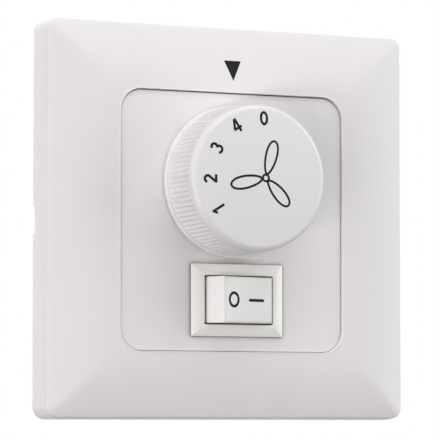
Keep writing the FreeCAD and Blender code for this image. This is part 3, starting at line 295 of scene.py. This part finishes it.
def laminate(name, colour):
    """Paper laminate of the circuit board with its fibres."""
    fibre_scale, fibre_stretch = 420.0, (1.0, 1.0, 0.25)
    fibre_tone, fibre_depth, fibre_relief = 0.8, 0.03, 0.3
    smoothest, roughest = 0.45, 0.62
    material, tree, shader, where = new_material(name)
    fibres = noise(tree, where, fibre_scale, detail=5.0, stretch=fibre_stretch)
    tree.links.new(tone(tree, fibres, shade(colour, fibre_tone), colour), shader.inputs["Base Color"])
    tree.links.new(between(tree, fibres, smoothest, roughest), shader.inputs["Roughness"])
    raise_grain(tree, shader, fibres, fibre_depth, fibre_relief)
    return material


def ink(name):
    """Pad-printed black ink, matt and a little uneven."""
    patch_scale = 1500.0
    dark, light = (0.006, 0.006, 0.006), (0.014, 0.013, 0.013)
    smoothest, roughest = 0.55, 0.7
    material, tree, shader, where = new_material(name)
    patches = noise(tree, where, patch_scale, detail=3.0)
    tree.links.new(tone(tree, patches, dark, light), shader.inputs["Base Color"])
    tree.links.new(between(tree, patches, smoothest, roughest), shader.inputs["Roughness"])
    shader.inputs["Specular IOR Level"].default_value = 0.15
    return material


SHELL_WHITE = moulded("shell_white", (0.815, 0.77, 0.79), 0.36, shine=0.25)
# The plate gets a dark painted shadow round the rocker's bezel only, and the knob a light painted shade in
# its flutes
PLATE_WHITE = moulded(
    "plate_white", (0.812, 0.77, 0.788), 0.34, corner_shade=(0.05, 2.2), shade_only_near=rocker_shade_mask
)
KNOB_WHITE = moulded("knob_white", (0.775, 0.742, 0.752), 0.33, corner_shade=(0.92, 0.8))
# Bezel and button get strong painted shade in the gap between them
BEZEL_IVORY = moulded("bezel_ivory", (0.925, 0.893, 0.855), 0.3, corner_shade=(0.05, 0.6))
BUTTON_WHITE = moulded("button_white", (0.875, 0.845, 0.835), 0.3, corner_shade=(0.1, 0.6))
HOUSING_GREY = moulded("housing_grey", (0.62, 0.62, 0.61), 0.5, grain=0.5)
PHENOLIC = moulded("phenolic_brown", (0.035, 0.026, 0.02), 0.4)
NYLON = moulded("natural_nylon", (0.72, 0.69, 0.6), 0.5)
BLOCK_GREEN = moulded("terminal_green", (0.03, 0.16, 0.06), 0.45)
CAPACITOR_YELLOW = moulded("capacitor_yellow", (0.62, 0.46, 0.05), 0.42)
LACQUER = moulded("resistor_lacquer", (0.45, 0.34, 0.2), 0.35)
RED_SLEEVE = moulded("red_sleeve", (0.42, 0.03, 0.02), 0.45)
BLUE_SLEEVE = moulded("blue_sleeve", (0.02, 0.06, 0.28), 0.45)
ZINC = plated("zinc_plate", (0.66, 0.67, 0.69), 0.34, (1.0, 1.0, 0.06))
STEEL = plated("turned_steel", (0.58, 0.58, 0.6), 0.3, (0.08, 1.0, 0.08))
SPRING_STEEL = plated("spring_steel", (0.42, 0.42, 0.43), 0.3, (0.1, 1.0, 1.0))
NICKEL = plated("nickel_plate", (0.66, 0.64, 0.58), 0.26, (0.08, 1.0, 0.08))
BRASS = plated("stamped_brass", (0.7, 0.5, 0.2), 0.32, (1.0, 0.1, 1.0))
PAPER_BOARD = laminate("paper_laminate", (0.36, 0.22, 0.08))
INK = ink("printed_ink")

FINISHES = {
    "white_plastic": SHELL_WHITE,
    "knob_plastic": KNOB_WHITE,
    "ivory_plastic": BEZEL_IVORY,
    "button_plastic": BUTTON_WHITE,
    "spring_steel": SPRING_STEEL,
    "plated_steel": ZINC,
    "shaft_metal": STEEL,
    "bushing_metal": NICKEL,
    "switch_plastic": PHENOLIC,
    "rotor_plastic": NYLON,
    "contact_brass": BRASS,
    "lead_red": RED_SLEEVE,
    "lead_blue": BLUE_SLEEVE,
    "housing_plastic": HOUSING_GREY,
    "board_laminate": PAPER_BOARD,
    "capacitor_plastic": CAPACITOR_YELLOW,
    "resistor_coat": LACQUER,
    "block_plastic": BLOCK_GREEN,
}


def dress_nodes():
    """Give every solid the finish of its slot."""
    for entry in frame["record"]["subparts"]:
        node = nodes[entry["node"]]
        node.data.materials.clear()
        node.data.materials.append(FINISHES[entry["material_slot"]])
    nodes["centre_plate"].data.materials[0] = PLATE_WHITE


# Mesh helpers


def finish_piece(name, mesh, material, body):
    """Link a finished mesh as a piece that rides on a body."""
    piece = put(name, mesh)
    mesh.materials.clear()
    mesh.materials.append(material)
    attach(piece, body)
    return piece


def settle(carrier):
    """The mesh that an object's modifiers make; the object itself goes."""
    bpy.context.view_layer.update()
    evaluated = carrier.evaluated_get(bpy.context.evaluated_depsgraph_get())
    mesh = bpy.data.meshes.new_from_object(evaluated)
    carrier.modifiers.clear()
    bpy.data.objects.remove(carrier)
    return mesh


def as_mesh(name, shape):
    """A mesh from a finished bmesh."""
    mesh = bpy.data.meshes.new(name)
    shape.to_mesh(mesh)
    shape.free()
    return mesh


def bend(x, y, wide, tall, start, finish, steps=18):
    """Points along part of an ellipse, from one angle to another in degrees."""
    turns = [math.radians(start + (finish - start) * k / steps) for k in range(steps + 1)]
    return [(x + wide * math.cos(turn), y + tall * math.sin(turn)) for turn in turns]


def rounded_outline(width, height, radius, corner_steps=10, side_steps=14):
    """Points round a rectangle with rounded corners, in step with every other such outline."""
    right, high = width / 2 - radius, height / 2 - radius
    centres = ((right, -high, -90), (right, high, 0), (-right, high, 90), (-right, -high, 180))
    corners = [bend(x, y, radius, radius, start, start + 90, corner_steps) for x, y, start in centres]
    points = []
    for here, after in zip(corners, corners[1:] + corners[:1]):
        points += here
        (x0, y0), (x1, y1) = here[-1], after[0]
        for k in range(1, side_steps):
            share = k / side_steps
            points.append((x0 + (x1 - x0) * share, y0 + (y1 - y0) * share))
    return points


def loft(rings):
    """A mesh skinned over a closed run of equal rings; each ring is a list of (across, up, out)."""
    mesh = bpy.data.meshes.new("loft")
    count = len(rings[0])
    points = [place(*point) for ring in rings for point in ring]
    faces = []
    for low in range(len(rings)):
        high = (low + 1) % len(rings)
        for k in range(count):
            after = (k + 1) % count
            faces.append((low * count + k, low * count + after, high * count + after, high * count + k))
    mesh.from_pydata(points, [], faces)
    return mesh


def prism(outline, near, far):
    """A block across the part with a side view given as (up, out)."""
    count = len(outline)
    points = [place(x, up, out) for x in (near, far) for up, out in outline]
    sides = [(k, (k + 1) % count, count + (k + 1) % count, count + k) for k in range(count)]
    ends = [tuple(range(count)), tuple(range(2 * count - 1, count - 1, -1))]
    mesh = bpy.data.meshes.new("prism")
    mesh.from_pydata(points, [], sides + ends)
    return mesh


def smooth_out(mesh, angle=35):
    """Point the faces outwards and shade them smooth up to an angle in degrees."""
    same_point = 0.0001 * MM
    limit = math.radians(angle)
    shape = bmesh.new()
    shape.from_mesh(mesh)
    bmesh.ops.remove_doubles(shape, verts=shape.verts, dist=same_point)
    bmesh.ops.recalc_face_normals(shape, faces=shape.faces)
    for face in shape.faces:
        face.smooth = True
    for edge in shape.edges:
        edge.smooth = edge.is_manifold and edge.calc_face_angle(0.0) < limit
    shape.to_mesh(mesh)
    shape.free()
    return mesh


# Cover frame


def slope(distance, flat):
    """Height of the pillow face at a distance from the middle, along one direction."""
    half = FRAME_SIDE / 2
    if distance <= flat:
        return FRAME_LIP
    chord = math.hypot(half - flat, FRAME_LIP - FRAME_EDGE)
    rise = math.sqrt(PILLOW_RADIUS**2 - (chord / 2) ** 2)
    middle_x, middle_y = (half + flat) / 2, (FRAME_LIP + FRAME_EDGE) / 2
    centre_x = middle_x - rise * (FRAME_LIP - FRAME_EDGE) / chord
    centre_y = middle_y - rise * (half - flat) / chord
    return centre_y + math.sqrt(max(PILLOW_RADIUS**2 - (distance - centre_x) ** 2, 0.0))


def pillow(x, y):
    """Height of the cover frame's face, with the two slopes blended along the mitre."""
    first, second = slope(abs(x), SEAT_WIDTH / 2), slope(abs(y), SEAT_HEIGHT / 2)
    share = max(MITRE_BLEND - abs(first - second), 0.0) / MITRE_BLEND
    return min(first, second) - share * share * MITRE_BLEND / 4


def cut_notch(mesh):
    """Cut the screwdriver notch, with one slanted end, out of the rear edge of the left side."""
    outside, inside, behind = 1.0, 2.5, 0.5
    near, far = -FRAME_SIDE / 2 - outside, -FRAME_SIDE / 2 + inside
    low, high = -PRY_LENGTH / 2, PRY_LENGTH / 2
    outline = [(low, -behind), (high + behind, -behind), (high - PRY_DEPTH, PRY_DEPTH), (low, PRY_DEPTH)]
    cutter = put("notch_cutter", smooth_out(prism(outline, near, far)))
    carrier = put("notched_shell", mesh)
    cut = carrier.modifiers.new("pry_notch", "BOOLEAN")
    cut.operation = "DIFFERENCE"
    cut.solver = "EXACT"
    cut.object = cutter
    result = settle(carrier)
    bpy.data.objects.remove(cutter)
    return result


def make_cover_frame():
    """Square frame with a pillow face, the opening for the plate, and the hollow behind."""
    rings = []

    def ring(width, height, corner, out):
        """A level ring at a distance from the wall."""
        rings.append([(x, y, out) for x, y in rounded_outline(width, height, corner)])

    def side_ring(inset, out):
        """A ring of the side wall, lowered at the corners as the face is there."""
        outline = rounded_outline(FRAME_SIDE - inset * 2, FRAME_SIDE - inset * 2, FRAME_CORNER - inset)
        level = pillow(FRAME_SIDE / 2 - inset, 0)
        drop = [min(pillow(x, y) - level, 0.0) for x, y in outline]
        rings.append([(x, y, out + d) for (x, y), d in zip(outline, drop)])

    # Side wall that leans in towards the front, and the small round that leads on to the face
    rear_side = FRAME_SIDE - 2 * REAR_BREAK
    ring(rear_side, rear_side, FRAME_CORNER - REAR_BREAK, 0.0)
    ring(FRAME_SIDE, FRAME_SIDE, FRAME_CORNER, REAR_BREAK)
    wall_steps, round_steps, face_steps = 6, 7, 24
    first, last = math.radians(12), math.radians(72)
    join = SIDE_LEAN + EDGE_ROUND * (math.cos(first) - math.cos(last))
    shoulder = pillow(FRAME_SIDE / 2 - join, 0) - EDGE_ROUND * (math.sin(last) - math.sin(first))
    for k in range(wall_steps):
        share = k / wall_steps
        side_ring(SIDE_LEAN * share * share, LEAN_START + (shoulder - LEAN_START) * share)
    for k in range(round_steps + 1):
        turn = first + (last - first) * k / round_steps
        rise = EDGE_ROUND * (math.sin(turn) - math.sin(first))
        side_ring(SIDE_LEAN + EDGE_ROUND * (math.cos(first) - math.cos(turn)), shoulder + rise)

    # Pillow face between the edge and the lip
    outer = rounded_outline(FRAME_SIDE - join * 2, FRAME_SIDE - join * 2, FRAME_CORNER - join)
    inner = rounded_outline(SEAT_WIDTH + LIP_ROUND * 2, SEAT_HEIGHT + LIP_ROUND * 2, SEAT_CORNER + LIP_ROUND)
    for k in range(1, face_steps + 1):
        share = k / face_steps
        spots = [(a + (c - a) * share, b + (d - b) * share) for (a, b), (c, d) in zip(outer, inner)]
        rings.append([(x, y, pillow(x, y)) for x, y in spots])

    # Lip, seat and ledge of the opening, then the collar, the pocket round it and the hollow back
    for turn in (30, 60, 90):
        angle = math.radians(turn)
        wider = LIP_ROUND * (1 - math.sin(angle)) * 2
        fall = LIP_ROUND * (1 - math.cos(angle))
        ring(SEAT_WIDTH + wider, SEAT_HEIGHT + wider, SEAT_CORNER + wider / 2, FRAME_LIP - fall)
    seat = (SEAT_WIDTH, SEAT_HEIGHT, SEAT_CORNER)
    ledge = (LEDGE_WIDTH, LEDGE_HEIGHT, LEDGE_CORNER)
    collar = (SEAT_WIDTH + 2 * COLLAR_WALL, SEAT_HEIGHT + 2 * COLLAR_WALL, SEAT_CORNER + COLLAR_WALL)
    pocket = (collar[0] + 2 * POCKET_REACH, collar[1] + 2 * POCKET_REACH, POCKET_CORNER)
    hollow = (FRAME_SIDE - 2 * SIDE_WALL, FRAME_SIDE - 2 * SIDE_WALL, HOLLOW_CORNER)
    ring(*seat, LEDGE_FRONT)
    ring(*ledge, LEDGE_FRONT)
    ring(*ledge, LEDGE_BACK)
    ring(*seat, LEDGE_BACK)
    ring(*seat, COLLAR_FOOT)
    ring(*collar, COLLAR_FOOT)
    ring(*collar, POCKET_FRONT)
    ring(*pocket, POCKET_FRONT)
    ring(*pocket, HOLLOW_FRONT)
    ring(*hollow, HOLLOW_FRONT)
    ring(*hollow, 0.0)
    mesh = smooth_out(cut_notch(smooth_out(loft(rings))))
    piece = finish_piece("cover_shell", mesh, SHELL_WHITE, "wall_body")
    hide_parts("cover_frame")


# Knob


def knob_height(radius):
    """Height of the knob's front at a distance from its axis: the dome, then the shoulder."""
    if radius > FACE_RADIUS:
        over = min(radius - FACE_RADIUS, SHOULDER)
        return KNOB_FACE - SHOULDER + math.sqrt(SHOULDER**2 - over**2)
    ball = (FACE_RADIUS**2 + KNOB_DOME**2) / (2 * KNOB_DOME)
    return KNOB_FACE + KNOB_DOME - ball + math.sqrt(ball**2 - radius**2)


def knob_section():
    """Half section of the knob from its hollow round to its face, as (radius, out, share of flute depth)."""
    plain = [(KNOB_HOLLOW, KNOB_ROOF), (KNOB_HOLLOW, KNOB_BASE)]
    plain += [(FLANGE_RADIUS - FLANGE_BREAK, KNOB_BASE), (FLANGE_RADIUS, KNOB_BASE + FLANGE_BREAK)]
    # Rounded top edge of the flange as (inset, below)
    edge = ((0.0, 0.35), (0.04, 0.18), (0.14, 0.06), (0.3, 0.0))
    plain += [(FLANGE_RADIUS - inset, FLANGE_TOP - below) for inset, below in edge]
    corner_gap = 0.02
    plain.append((SKIRT_FOOT + corner_gap, FLANGE_TOP + corner_gap))
    points = [(radius, out, 0.0) for radius, out in plain]

    # Skirt with the flutes, as shares of their length and depth; they run in and out at their ends
    length = FLUTE_HEAD - FLUTE_FOOT
    run_in, run_out, skirt_steps = 0.3, 0.35, 8
    cuts = [(0.0, 0.0), (run_in / length, 0.8)]
    cuts += [(k / skirt_steps, 1.0) for k in range(1, skirt_steps)]
    cuts += [(1 - run_out / length, 0.85), (1.0, 0.0)]
    for share, depth in cuts:
        radius = SKIRT_FOOT + (SKIRT_HEAD - SKIRT_FOOT) * share
        points.append((radius, FLUTE_FOOT + length * share, depth))

    # Shoulder and domed face
    rolled = bend(FACE_RADIUS, KNOB_FACE - SHOULDER, SHOULDER, SHOULDER, 0, 90, 9)
    points += [(radius, out, 0.0) for radius, out in rolled[:-1]]
    face_steps = 10
    for k in range(face_steps):
        radius = FACE_RADIUS * (1 - k / face_steps)
        points.append((radius, knob_height(radius), 0.0))
    return points


def flute_sector():
    """One flute of the knob with the strip of flange, shoulder and face that belongs to it."""
    pitch = 2 * math.pi / FLUTE_COUNT
    # Half of a flute as shares of the pitch from its middle and of its depth
    side = ((0.1, 0.85), (0.24, 0.2), (0.36, 0.0), (0.5, 0.0))
    across = [(-turn, cut) for turn, cut in side[::-1]] + [(0.0, 1.0)] + list(side)
    shape = bmesh.new()
    rows = []
    for radius, out, share in knob_section():
        row = []
        for turn, cut in across:
            reach = radius - FLUTE_DEPTH * cut * share
            spot = place(reach * math.cos(turn * pitch), reach * math.sin(turn * pitch), out)
            row.append(shape.verts.new(spot))
        rows.append(row)
    pole = shape.verts.new(place(0, 0, knob_height(0)))
    roof = shape.verts.new(place(0, 0, KNOB_ROOF))
    for low, high in zip(rows, rows[1:]):
        for k in range(len(across) - 1):
            shape.faces.new((low[k], low[k + 1], high[k + 1], high[k]))
    for k in range(len(across) - 1):
        shape.faces.new((rows[-1][k], rows[-1][k + 1], pole))
        shape.faces.new((rows[0][k + 1], rows[0][k], roof))
    return as_mesh("flute_sector", shape)


def flute_tree():
    """Geometry nodes that set one sector round the knob's axis and weld the joints."""
    tree = bpy.data.node_groups.new("fluted_knob", "GeometryNodeTree")
    sizes = (("Flute count", "Int"), ("Axis up", "Float"), ("Weld distance", "Float"))
    for name, kind in (("Sector", "Geometry"), *sizes, ("Finish", "Material")):
        tree.interface.new_socket(name, in_out="INPUT", socket_type="NodeSocket" + kind)
    tree.interface.new_socket("Knob", in_out="OUTPUT", socket_type="NodeSocketGeometry")
    add = tree.nodes.new
    link = tree.links.new
    inputs = add("NodeGroupInput")
    outputs = add("NodeGroupOutput")
    points = add("GeometryNodePoints")
    index = add("GeometryNodeInputIndex")
    step = add("ShaderNodeMath")
    step.operation = "DIVIDE"
    step.inputs[0].default_value = 2 * math.pi
    turn = add("ShaderNodeMath")
    turn.operation = "MULTIPLY"
    around = add("ShaderNodeCombineXYZ")
    rotation = add("FunctionNodeEulerToRotation")
    instances = add("GeometryNodeInstanceOnPoints")
    realize = add("GeometryNodeRealizeInstances")
    weld = add("GeometryNodeMergeByDistance")
    lift = add("ShaderNodeCombineXYZ")
    move = add("GeometryNodeTransform")
    smooth = add("GeometryNodeSetShadeSmooth")
    finish = add("GeometryNodeSetMaterial")
    link(inputs.outputs["Flute count"], points.inputs["Count"])
    link(inputs.outputs["Flute count"], step.inputs[1])
    link(index.outputs["Index"], turn.inputs[0])
    link(step.outputs["Value"], turn.inputs[1])
    link(turn.outputs["Value"], around.inputs["Y"])
    link(around.outputs["Vector"], rotation.inputs["Euler"])
    link(points.outputs["Points"], instances.inputs["Points"])
    link(inputs.outputs["Sector"], instances.inputs["Instance"])
    link(rotation.outputs["Rotation"], instances.inputs["Rotation"])
    link(instances.outputs["Instances"], realize.inputs["Geometry"])
    link(realize.outputs["Geometry"], weld.inputs["Geometry"])
    link(inputs.outputs["Weld distance"], weld.inputs["Distance"])
    link(inputs.outputs["Axis up"], lift.inputs["Z"])
    link(weld.outputs["Geometry"], move.inputs["Geometry"])
    link(lift.outputs["Vector"], move.inputs["Translation"])
    link(move.outputs["Geometry"], smooth.inputs["Geometry"])
    link(smooth.outputs["Geometry"], finish.inputs["Geometry"])
    link(inputs.outputs["Finish"], finish.inputs["Material"])
    link(finish.outputs["Geometry"], outputs.inputs["Knob"])
    return tree


def grow(name, mesh, tree, values):
    """Run a geometry node tree on a mesh and return the plain result."""
    carrier = put(name, mesh)
    modifier = carrier.modifiers.new(name, "NODES")
    modifier.node_group = tree
    for item in tree.interface.items_tree:
        if item.in_out == "INPUT" and item.name in values:
            modifier[item.identifier] = values[item.name]
    return settle(carrier)


def make_knob():
    """Fluted knob with its flange, shoulder, domed face and hollow."""
    values = {
        "Flute count": FLUTE_COUNT,
        "Axis up": KNOB_UP * MM,
        "Weld distance": WELD * MM,
        "Finish": KNOB_WHITE,
    }
    mesh = smooth_out(grow("fluted_knob", flute_sector(), flute_tree(), values), angle=40)
    piece = finish_piece("fluted_knob", mesh, KNOB_WHITE, "knob_body")
    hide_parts("speed_knob")


# Printed marks

# Centre lines of the plain figures, which come out about one unit high with their stroke
FIGURES = {
    "0": [bend(0, 0, 0.23, 0.415, 0, 360, 36)],
    "1": [[(0.08, 0.5), (0.08, -0.5)], [(0.12, 0.43), (-0.18, 0.22)]],
    "2": [bend(-0.01, 0.195, 0.215, 0.22, 168, -28) + [(-0.21, -0.37)], [(-0.3, -0.415), (0.27, -0.415)]],
    "3": [bend(-0.02, 0.205, 0.2, 0.21, 152, -80), bend(-0.02, -0.185, 0.24, 0.23, 80, -155)],
    "4": [[(0.05, 0.46), (-0.25, -0.15)], [(-0.33, -0.19), (0.32, -0.19)], [(0.11, 0.5), (0.11, -0.5)]],
}


def ribbon(points, width, closed=True):
    """A flat line of a given width through points, in millimetres."""
    count = len(points)
    shape = bmesh.new()
    rails = []
    for k, (x, y) in enumerate(points):
        before = points[(k - 1) % count] if closed or k else points[k]
        after = points[(k + 1) % count] if closed or k < count - 1 else points[k]
        along = Vector((after[0] - before[0], after[1] - before[1])).normalized()
        side = Vector((-along.y, along.x)) * (width / 2)
        corners = []
        for sign, level in ((1, INK_HALF), (-1, INK_HALF), (-1, -INK_HALF), (1, -INK_HALF)):
            corners.append(shape.verts.new((x + side.x * sign, y + side.y * sign, level)))
        rails.append(corners)
    steps = list(zip(rails, rails[1:] + rails[:1]))
    for here, after in steps if closed else steps[:-1]:
        for k in range(4):
            shape.faces.new((here[k], here[(k + 1) % 4], after[(k + 1) % 4], after[k]))
    if not closed:
        shape.faces.new(rails[0])
        shape.faces.new(rails[-1][::-1])
    return as_mesh("ribbon", shape)


def figure_lines(figure, height, weight):
    """Ribbons that draw one plain figure of a given height, in millimetres."""
    same_point = 1e-6
    lines = []
    for run in FIGURES[figure]:
        points = [(x * height, y * height) for x, y in run]
        closed = math.dist(points[0], points[-1]) < same_point
        lines.append(ribbon(points[:-1] if closed else points, weight, closed))
    return lines


def shifted(mesh, turn, x, y):
    """A flat mark turned about its own middle and then moved."""
    mesh.transform(Matrix.Translation((x, y, 0)) @ Matrix.Rotation(turn, 4, "Z"))
    return mesh


def printed(name, meshes, lay, body):
    """Join flat marks into one piece of ink and lay each point on the surface under it."""
    same_point = 1e-5
    shape = bmesh.new()
    for mesh in meshes:
        shape.from_mesh(mesh)
        bpy.data.meshes.remove(mesh)
    bmesh.ops.remove_doubles(shape, verts=shape.verts, dist=same_point)
    for vertex in shape.verts:
        vertex.co = lay(vertex.co.x, vertex.co.y, vertex.co.z)
    bmesh.ops.recalc_face_normals(shape, faces=shape.faces)
    finish_piece(name, as_mesh(name, shape), INK, body)


def on_knob(x, y, level):
    """On the knob's domed face, measured from its axis."""
    return place(x, KNOB_UP + y, knob_height(math.hypot(x, y)) + level)


def on_frame(x, y, level):
    """On the cover frame's pillow face."""
    return place(x, y, pillow(x, y) + level)


def on_button(x, y, level):
    """On the tilted top of the rocker, which is a little dished."""
    top = BUTTON_RISE - BUTTON_DISH * (1 - (x / BUTTON_HALF) ** 2) + level
    across = x * math.cos(ROCKER_TILT) + top * math.sin(ROCKER_TILT)
    out = top * math.cos(ROCKER_TILT) - x * math.sin(ROCKER_TILT)
    return place(ROCKER_ACROSS + across, ROCKER_UP + y, PIVOT_OUT + out)


def make_knob_print():
    """Figures of the speeds and a fan symbol, printed a little right of the knob's axis."""
    hub_x, hub_y = 1.02, -0.08
    dial_radius, first_angle, step_angle = 12.3, 90.7, 30.5
    height, weight = 2.95, 0.53
    figures = []
    for step, figure in enumerate("04321"):
        angle = math.radians(first_angle + step_angle * step)
        spot = (hub_x + dial_radius * math.cos(angle), hub_y + dial_radius * math.sin(angle))
        lines = figure_lines(figure, height, weight)
        figures += [shifted(line, angle - math.pi / 2, *spot) for line in lines]
    printed("knob_figures", figures, on_knob, "knob_body")

    # Fan symbol: a hub ring and three slim blades, each an egg-shaped loop with its own angle and length
    stroke, hub_radius = 0.45, 0.68
    blade_middle, blade_half = 4.4, 3.5
    blade_width, blade_swell = 1.22, 0.2
    blade_steps = 56
    lines = [shifted(ribbon(bend(0, 0, hub_radius, hub_radius, 0, 350, 35), stroke), 0, hub_x, hub_y)]
    for angle, length in ((74, 1.0), (192, 1.0), (314, 0.96)):
        blade = []
        for k in range(blade_steps):
            turn = 2 * math.pi * k / blade_steps
            along = (blade_middle + blade_half * math.cos(turn)) * length
            aside = blade_width * math.sin(turn) * (1 + blade_swell * math.cos(turn))
            blade.append((along, aside))
        lines.append(shifted(ribbon(blade, stroke), math.radians(angle), hub_x, hub_y))
    printed("knob_fan_symbol", lines, on_knob, "knob_body")


def make_frame_pointer():
    """Solid triangle over the knob that points to the chosen speed."""
    half, tip = 1.95, 0.02
    low, high, rows = 29.45, 33.7, 10
    shape = bmesh.new()
    grid = []
    for k in range(rows + 1):
        share = k / rows
        reach = half * share if k else tip
        up = low + (high - low) * share
        spots = [(sign * reach, up, level) for level in (INK_HALF, -INK_HALF) for sign in (-1, 1)]
        grid.append([shape.verts.new(spot) for spot in spots])
    for here, after in zip(grid, grid[1:]):
        for a, b in ((0, 1), (1, 3), (3, 2), (2, 0)):
            shape.faces.new((here[a], here[b], after[b], after[a]))
    for row in (grid[0], grid[-1]):
        shape.faces.new((row[0], row[1], row[3], row[2]))
    printed("frame_pointer", [as_mesh("pointer", shape)], on_frame, "wall_body")


def make_rocker_marks():
    """Ring for off and bar for on, printed on the rocker's top."""
    ring_wide, ring_tall = 1.24, 1.39
    ring_across, ring_stroke = -3.87, 0.58
    bar_half, bar_steps = 2.0, 10
    bar_across, bar_up, bar_stroke = 2.28, -0.05, 0.59
    ring = ribbon(bend(0, 0, ring_wide, ring_tall, 0, 352.5, 47), ring_stroke)
    along = [bar_half * (2 * k / bar_steps - 1) for k in range(bar_steps + 1)]
    bar = ribbon([(x, 0) for x in along], bar_stroke, closed=False)
    marks = [shifted(ring, 0, ring_across, 0), shifted(bar, 0, bar_across, bar_up)]
    printed("rocker_marks", marks, on_button, "rocker_body")


# Softened copies of the solids whose edges show


def soften(node_name, piece_name, width, material, body):
    """A copy of a solid with its edges rounded as moulding or tumbling leaves them."""
    flat, sharp = math.radians(0.6), math.radians(30)
    mesh = nodes[node_name].data.copy()
    shape = bmesh.new()
    shape.from_mesh(mesh)
    bmesh.ops.remove_doubles(shape, verts=shape.verts, dist=WELD * MM)
    bmesh.ops.dissolve_limit(shape, angle_limit=flat, verts=shape.verts, edges=shape.edges)
    shape.to_mesh(mesh)
    shape.free()
    carrier = put(piece_name, mesh)
    bevel = carrier.modifiers.new("soft_edges", "BEVEL")
    bevel.width = width * MM
    bevel.segments = 3
    bevel.limit_method = "ANGLE"
    bevel.angle_limit = sharp
    bevel.use_clamp_overlap = True
    piece = finish_piece(piece_name, smooth_out(settle(carrier), angle=40), material, body)
    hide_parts(node_name)


# Studio


def seen_directly(tree):
    """1 for rays that the camera, a reflection or a clear material looks along, and 0 for bounced light."""
    paths = tree.nodes.new("ShaderNodeLightPath")
    factor = paths.outputs["Is Camera Ray"]
    for ray in ("Is Glossy Ray", "Is Transmission Ray"):
        either = tree.nodes.new("ShaderNodeMath")
        either.operation = "MAXIMUM"
        tree.links.new(factor, either.inputs[0])
        tree.links.new(paths.outputs[ray], either.inputs[1])
        factor = either.outputs["Value"]
    return factor


def make_floor():
    """Pale floor that takes shadows, glows a little where it is seen and throws little light back."""
    reach, level = 4.0, -0.32
    speck_scale, dark, light = 6.0, (0.84, 0.84, 0.84), (0.88, 0.88, 0.88)
    bounce, glow = (0.12, 0.12, 0.12, 1), 0.5
    material, tree, shader, where = new_material("studio_floor")
    shader.inputs["Roughness"].default_value = 0.8
    directly = seen_directly(tree)
    seen = tree.nodes.new("ShaderNodeMix")
    seen.data_type = "RGBA"
    seen.inputs["A"].default_value = bounce
    tree.links.new(tone(tree, noise(tree, where, speck_scale), dark, light), seen.inputs["B"])
    tree.links.new(directly, seen.inputs["Factor"])
    tree.links.new(seen.outputs["Result"], shader.inputs["Base Color"])
    lift = tree.nodes.new("ShaderNodeMath")
    lift.operation = "MULTIPLY"
    lift.inputs[1].default_value = glow
    tree.links.new(directly, lift.inputs[0])
    tree.links.new(lift.outputs["Value"], shader.inputs["Emission Strength"])
    shader.inputs["Emission Color"].default_value = (1, 1, 1, 1)
    corners = [(x * reach, y * reach, level) for x, y in ((-1, -1), (1, -1), (1, 1), (-1, 1))]
    mesh = bpy.data.meshes.new("studio_floor")
    mesh.from_pydata(corners, [], [(0, 1, 2, 3)])
    mesh.materials.append(material)
    floor = put("studio_floor", mesh)


def make_world():
    """Dim even light from all round, with white where the camera or a reflection looks past the object."""
    even_light, white = 0.25, 1.0
    world = bpy.data.worlds.new("studio")
    bpy.context.scene.world = world
    world.use_nodes = True
    tree = world.node_tree
    background = tree.nodes["Background"]
    background.inputs["Color"].default_value = (1, 1, 1, 1)
    level = tree.nodes.new("ShaderNodeMapRange")
    level.inputs["To Min"].default_value = even_light
    level.inputs["To Max"].default_value = white
    tree.links.new(seen_directly(tree), level.inputs["Value"])
    tree.links.new(level.outputs["Result"], background.inputs["Strength"])


def softbox(name, spot, width, height, power, colour=(1, 1, 1)):
    """A rectangular lamp turned to the middle of the part, with its power in watts."""
    light = bpy.data.lights.new(name, "AREA")
    light.shape = "RECTANGLE"
    light.size = width
    light.size_y = height
    light.energy = power
    light.color = colour
    lamp = put(name, light)
    lamp.location = spot
    middle = Vector((0, -0.01, 0))
    lamp.rotation_euler = (middle - Vector(spot)).to_track_quat("-Z", "Y").to_euler()


def make_lights():
    """Soft strips at both sides and above, fill from the front and the low left, and a broad lamp behind."""
    cool = (0.955, 1.0, 0.995)
    softbox("strip_left", (-0.95, -0.28, 0.12), 0.5, 1.0, 3.8)
    softbox("strip_right", (0.95, -0.36, 0.12), 0.6, 1.0, 5.7, cool)
    softbox("overhead", (0.1, -0.4, 0.9), 1.0, 0.25, 4.7, cool)
    softbox("front_top", (0.1, -0.75, 0.65), 0.8, 0.5, 1.3)
    softbox("low_left", (-0.6, -0.6, -0.25), 0.5, 0.1, 2.7)
    softbox("behind", (0.0, 1.0, 0.35), 1.8, 1.2, 6.0)


def make_camera():
    """Camera at the photograph's viewing angle, with the focal length in the photograph's pixels."""
    image_pixels, focal_pixels, sensor = 440, 3078.0, 36.0
    spot = (-0.275996, -0.584798, -0.043181)
    yaw, pitch = math.radians(25.382), math.radians(3.907)
    data = bpy.data.cameras.new("photo_camera")
    data.sensor_width = sensor
    data.lens = focal_pixels / image_pixels * sensor
    data.clip_start = 0.01
    camera = put("photo_camera", data)
    camera.location = spot
    forward = Vector((math.sin(yaw) * math.cos(pitch), math.cos(yaw) * math.cos(pitch), math.sin(pitch)))
    camera.rotation_euler = forward.to_track_quat("-Z", "Y").to_euler()
    bpy.context.scene.camera = camera


bpy.context.scene.view_settings.view_transform = "Standard"
dress_nodes()
make_cover_frame()
make_knob()
make_knob_print()
make_frame_pointer()
make_rocker_marks()
soften("centre_plate", "front_plate", 0.12, PLATE_WHITE, "wall_body")
soften("rocker_housing", "rocker_bezel", 0.12, BEZEL_IVORY, "wall_body")
soften("rocker_button", "rocker_cap", 0.4, BUTTON_WHITE, "rocker_body")
soften("rear_housing", "rear_cup", 0.3, HOUSING_GREY, "wall_body")
soften("support_plate", "steel_plate", 0.12, ZINC, "wall_body")
make_floor()
make_world()
make_lights()
make_camera()
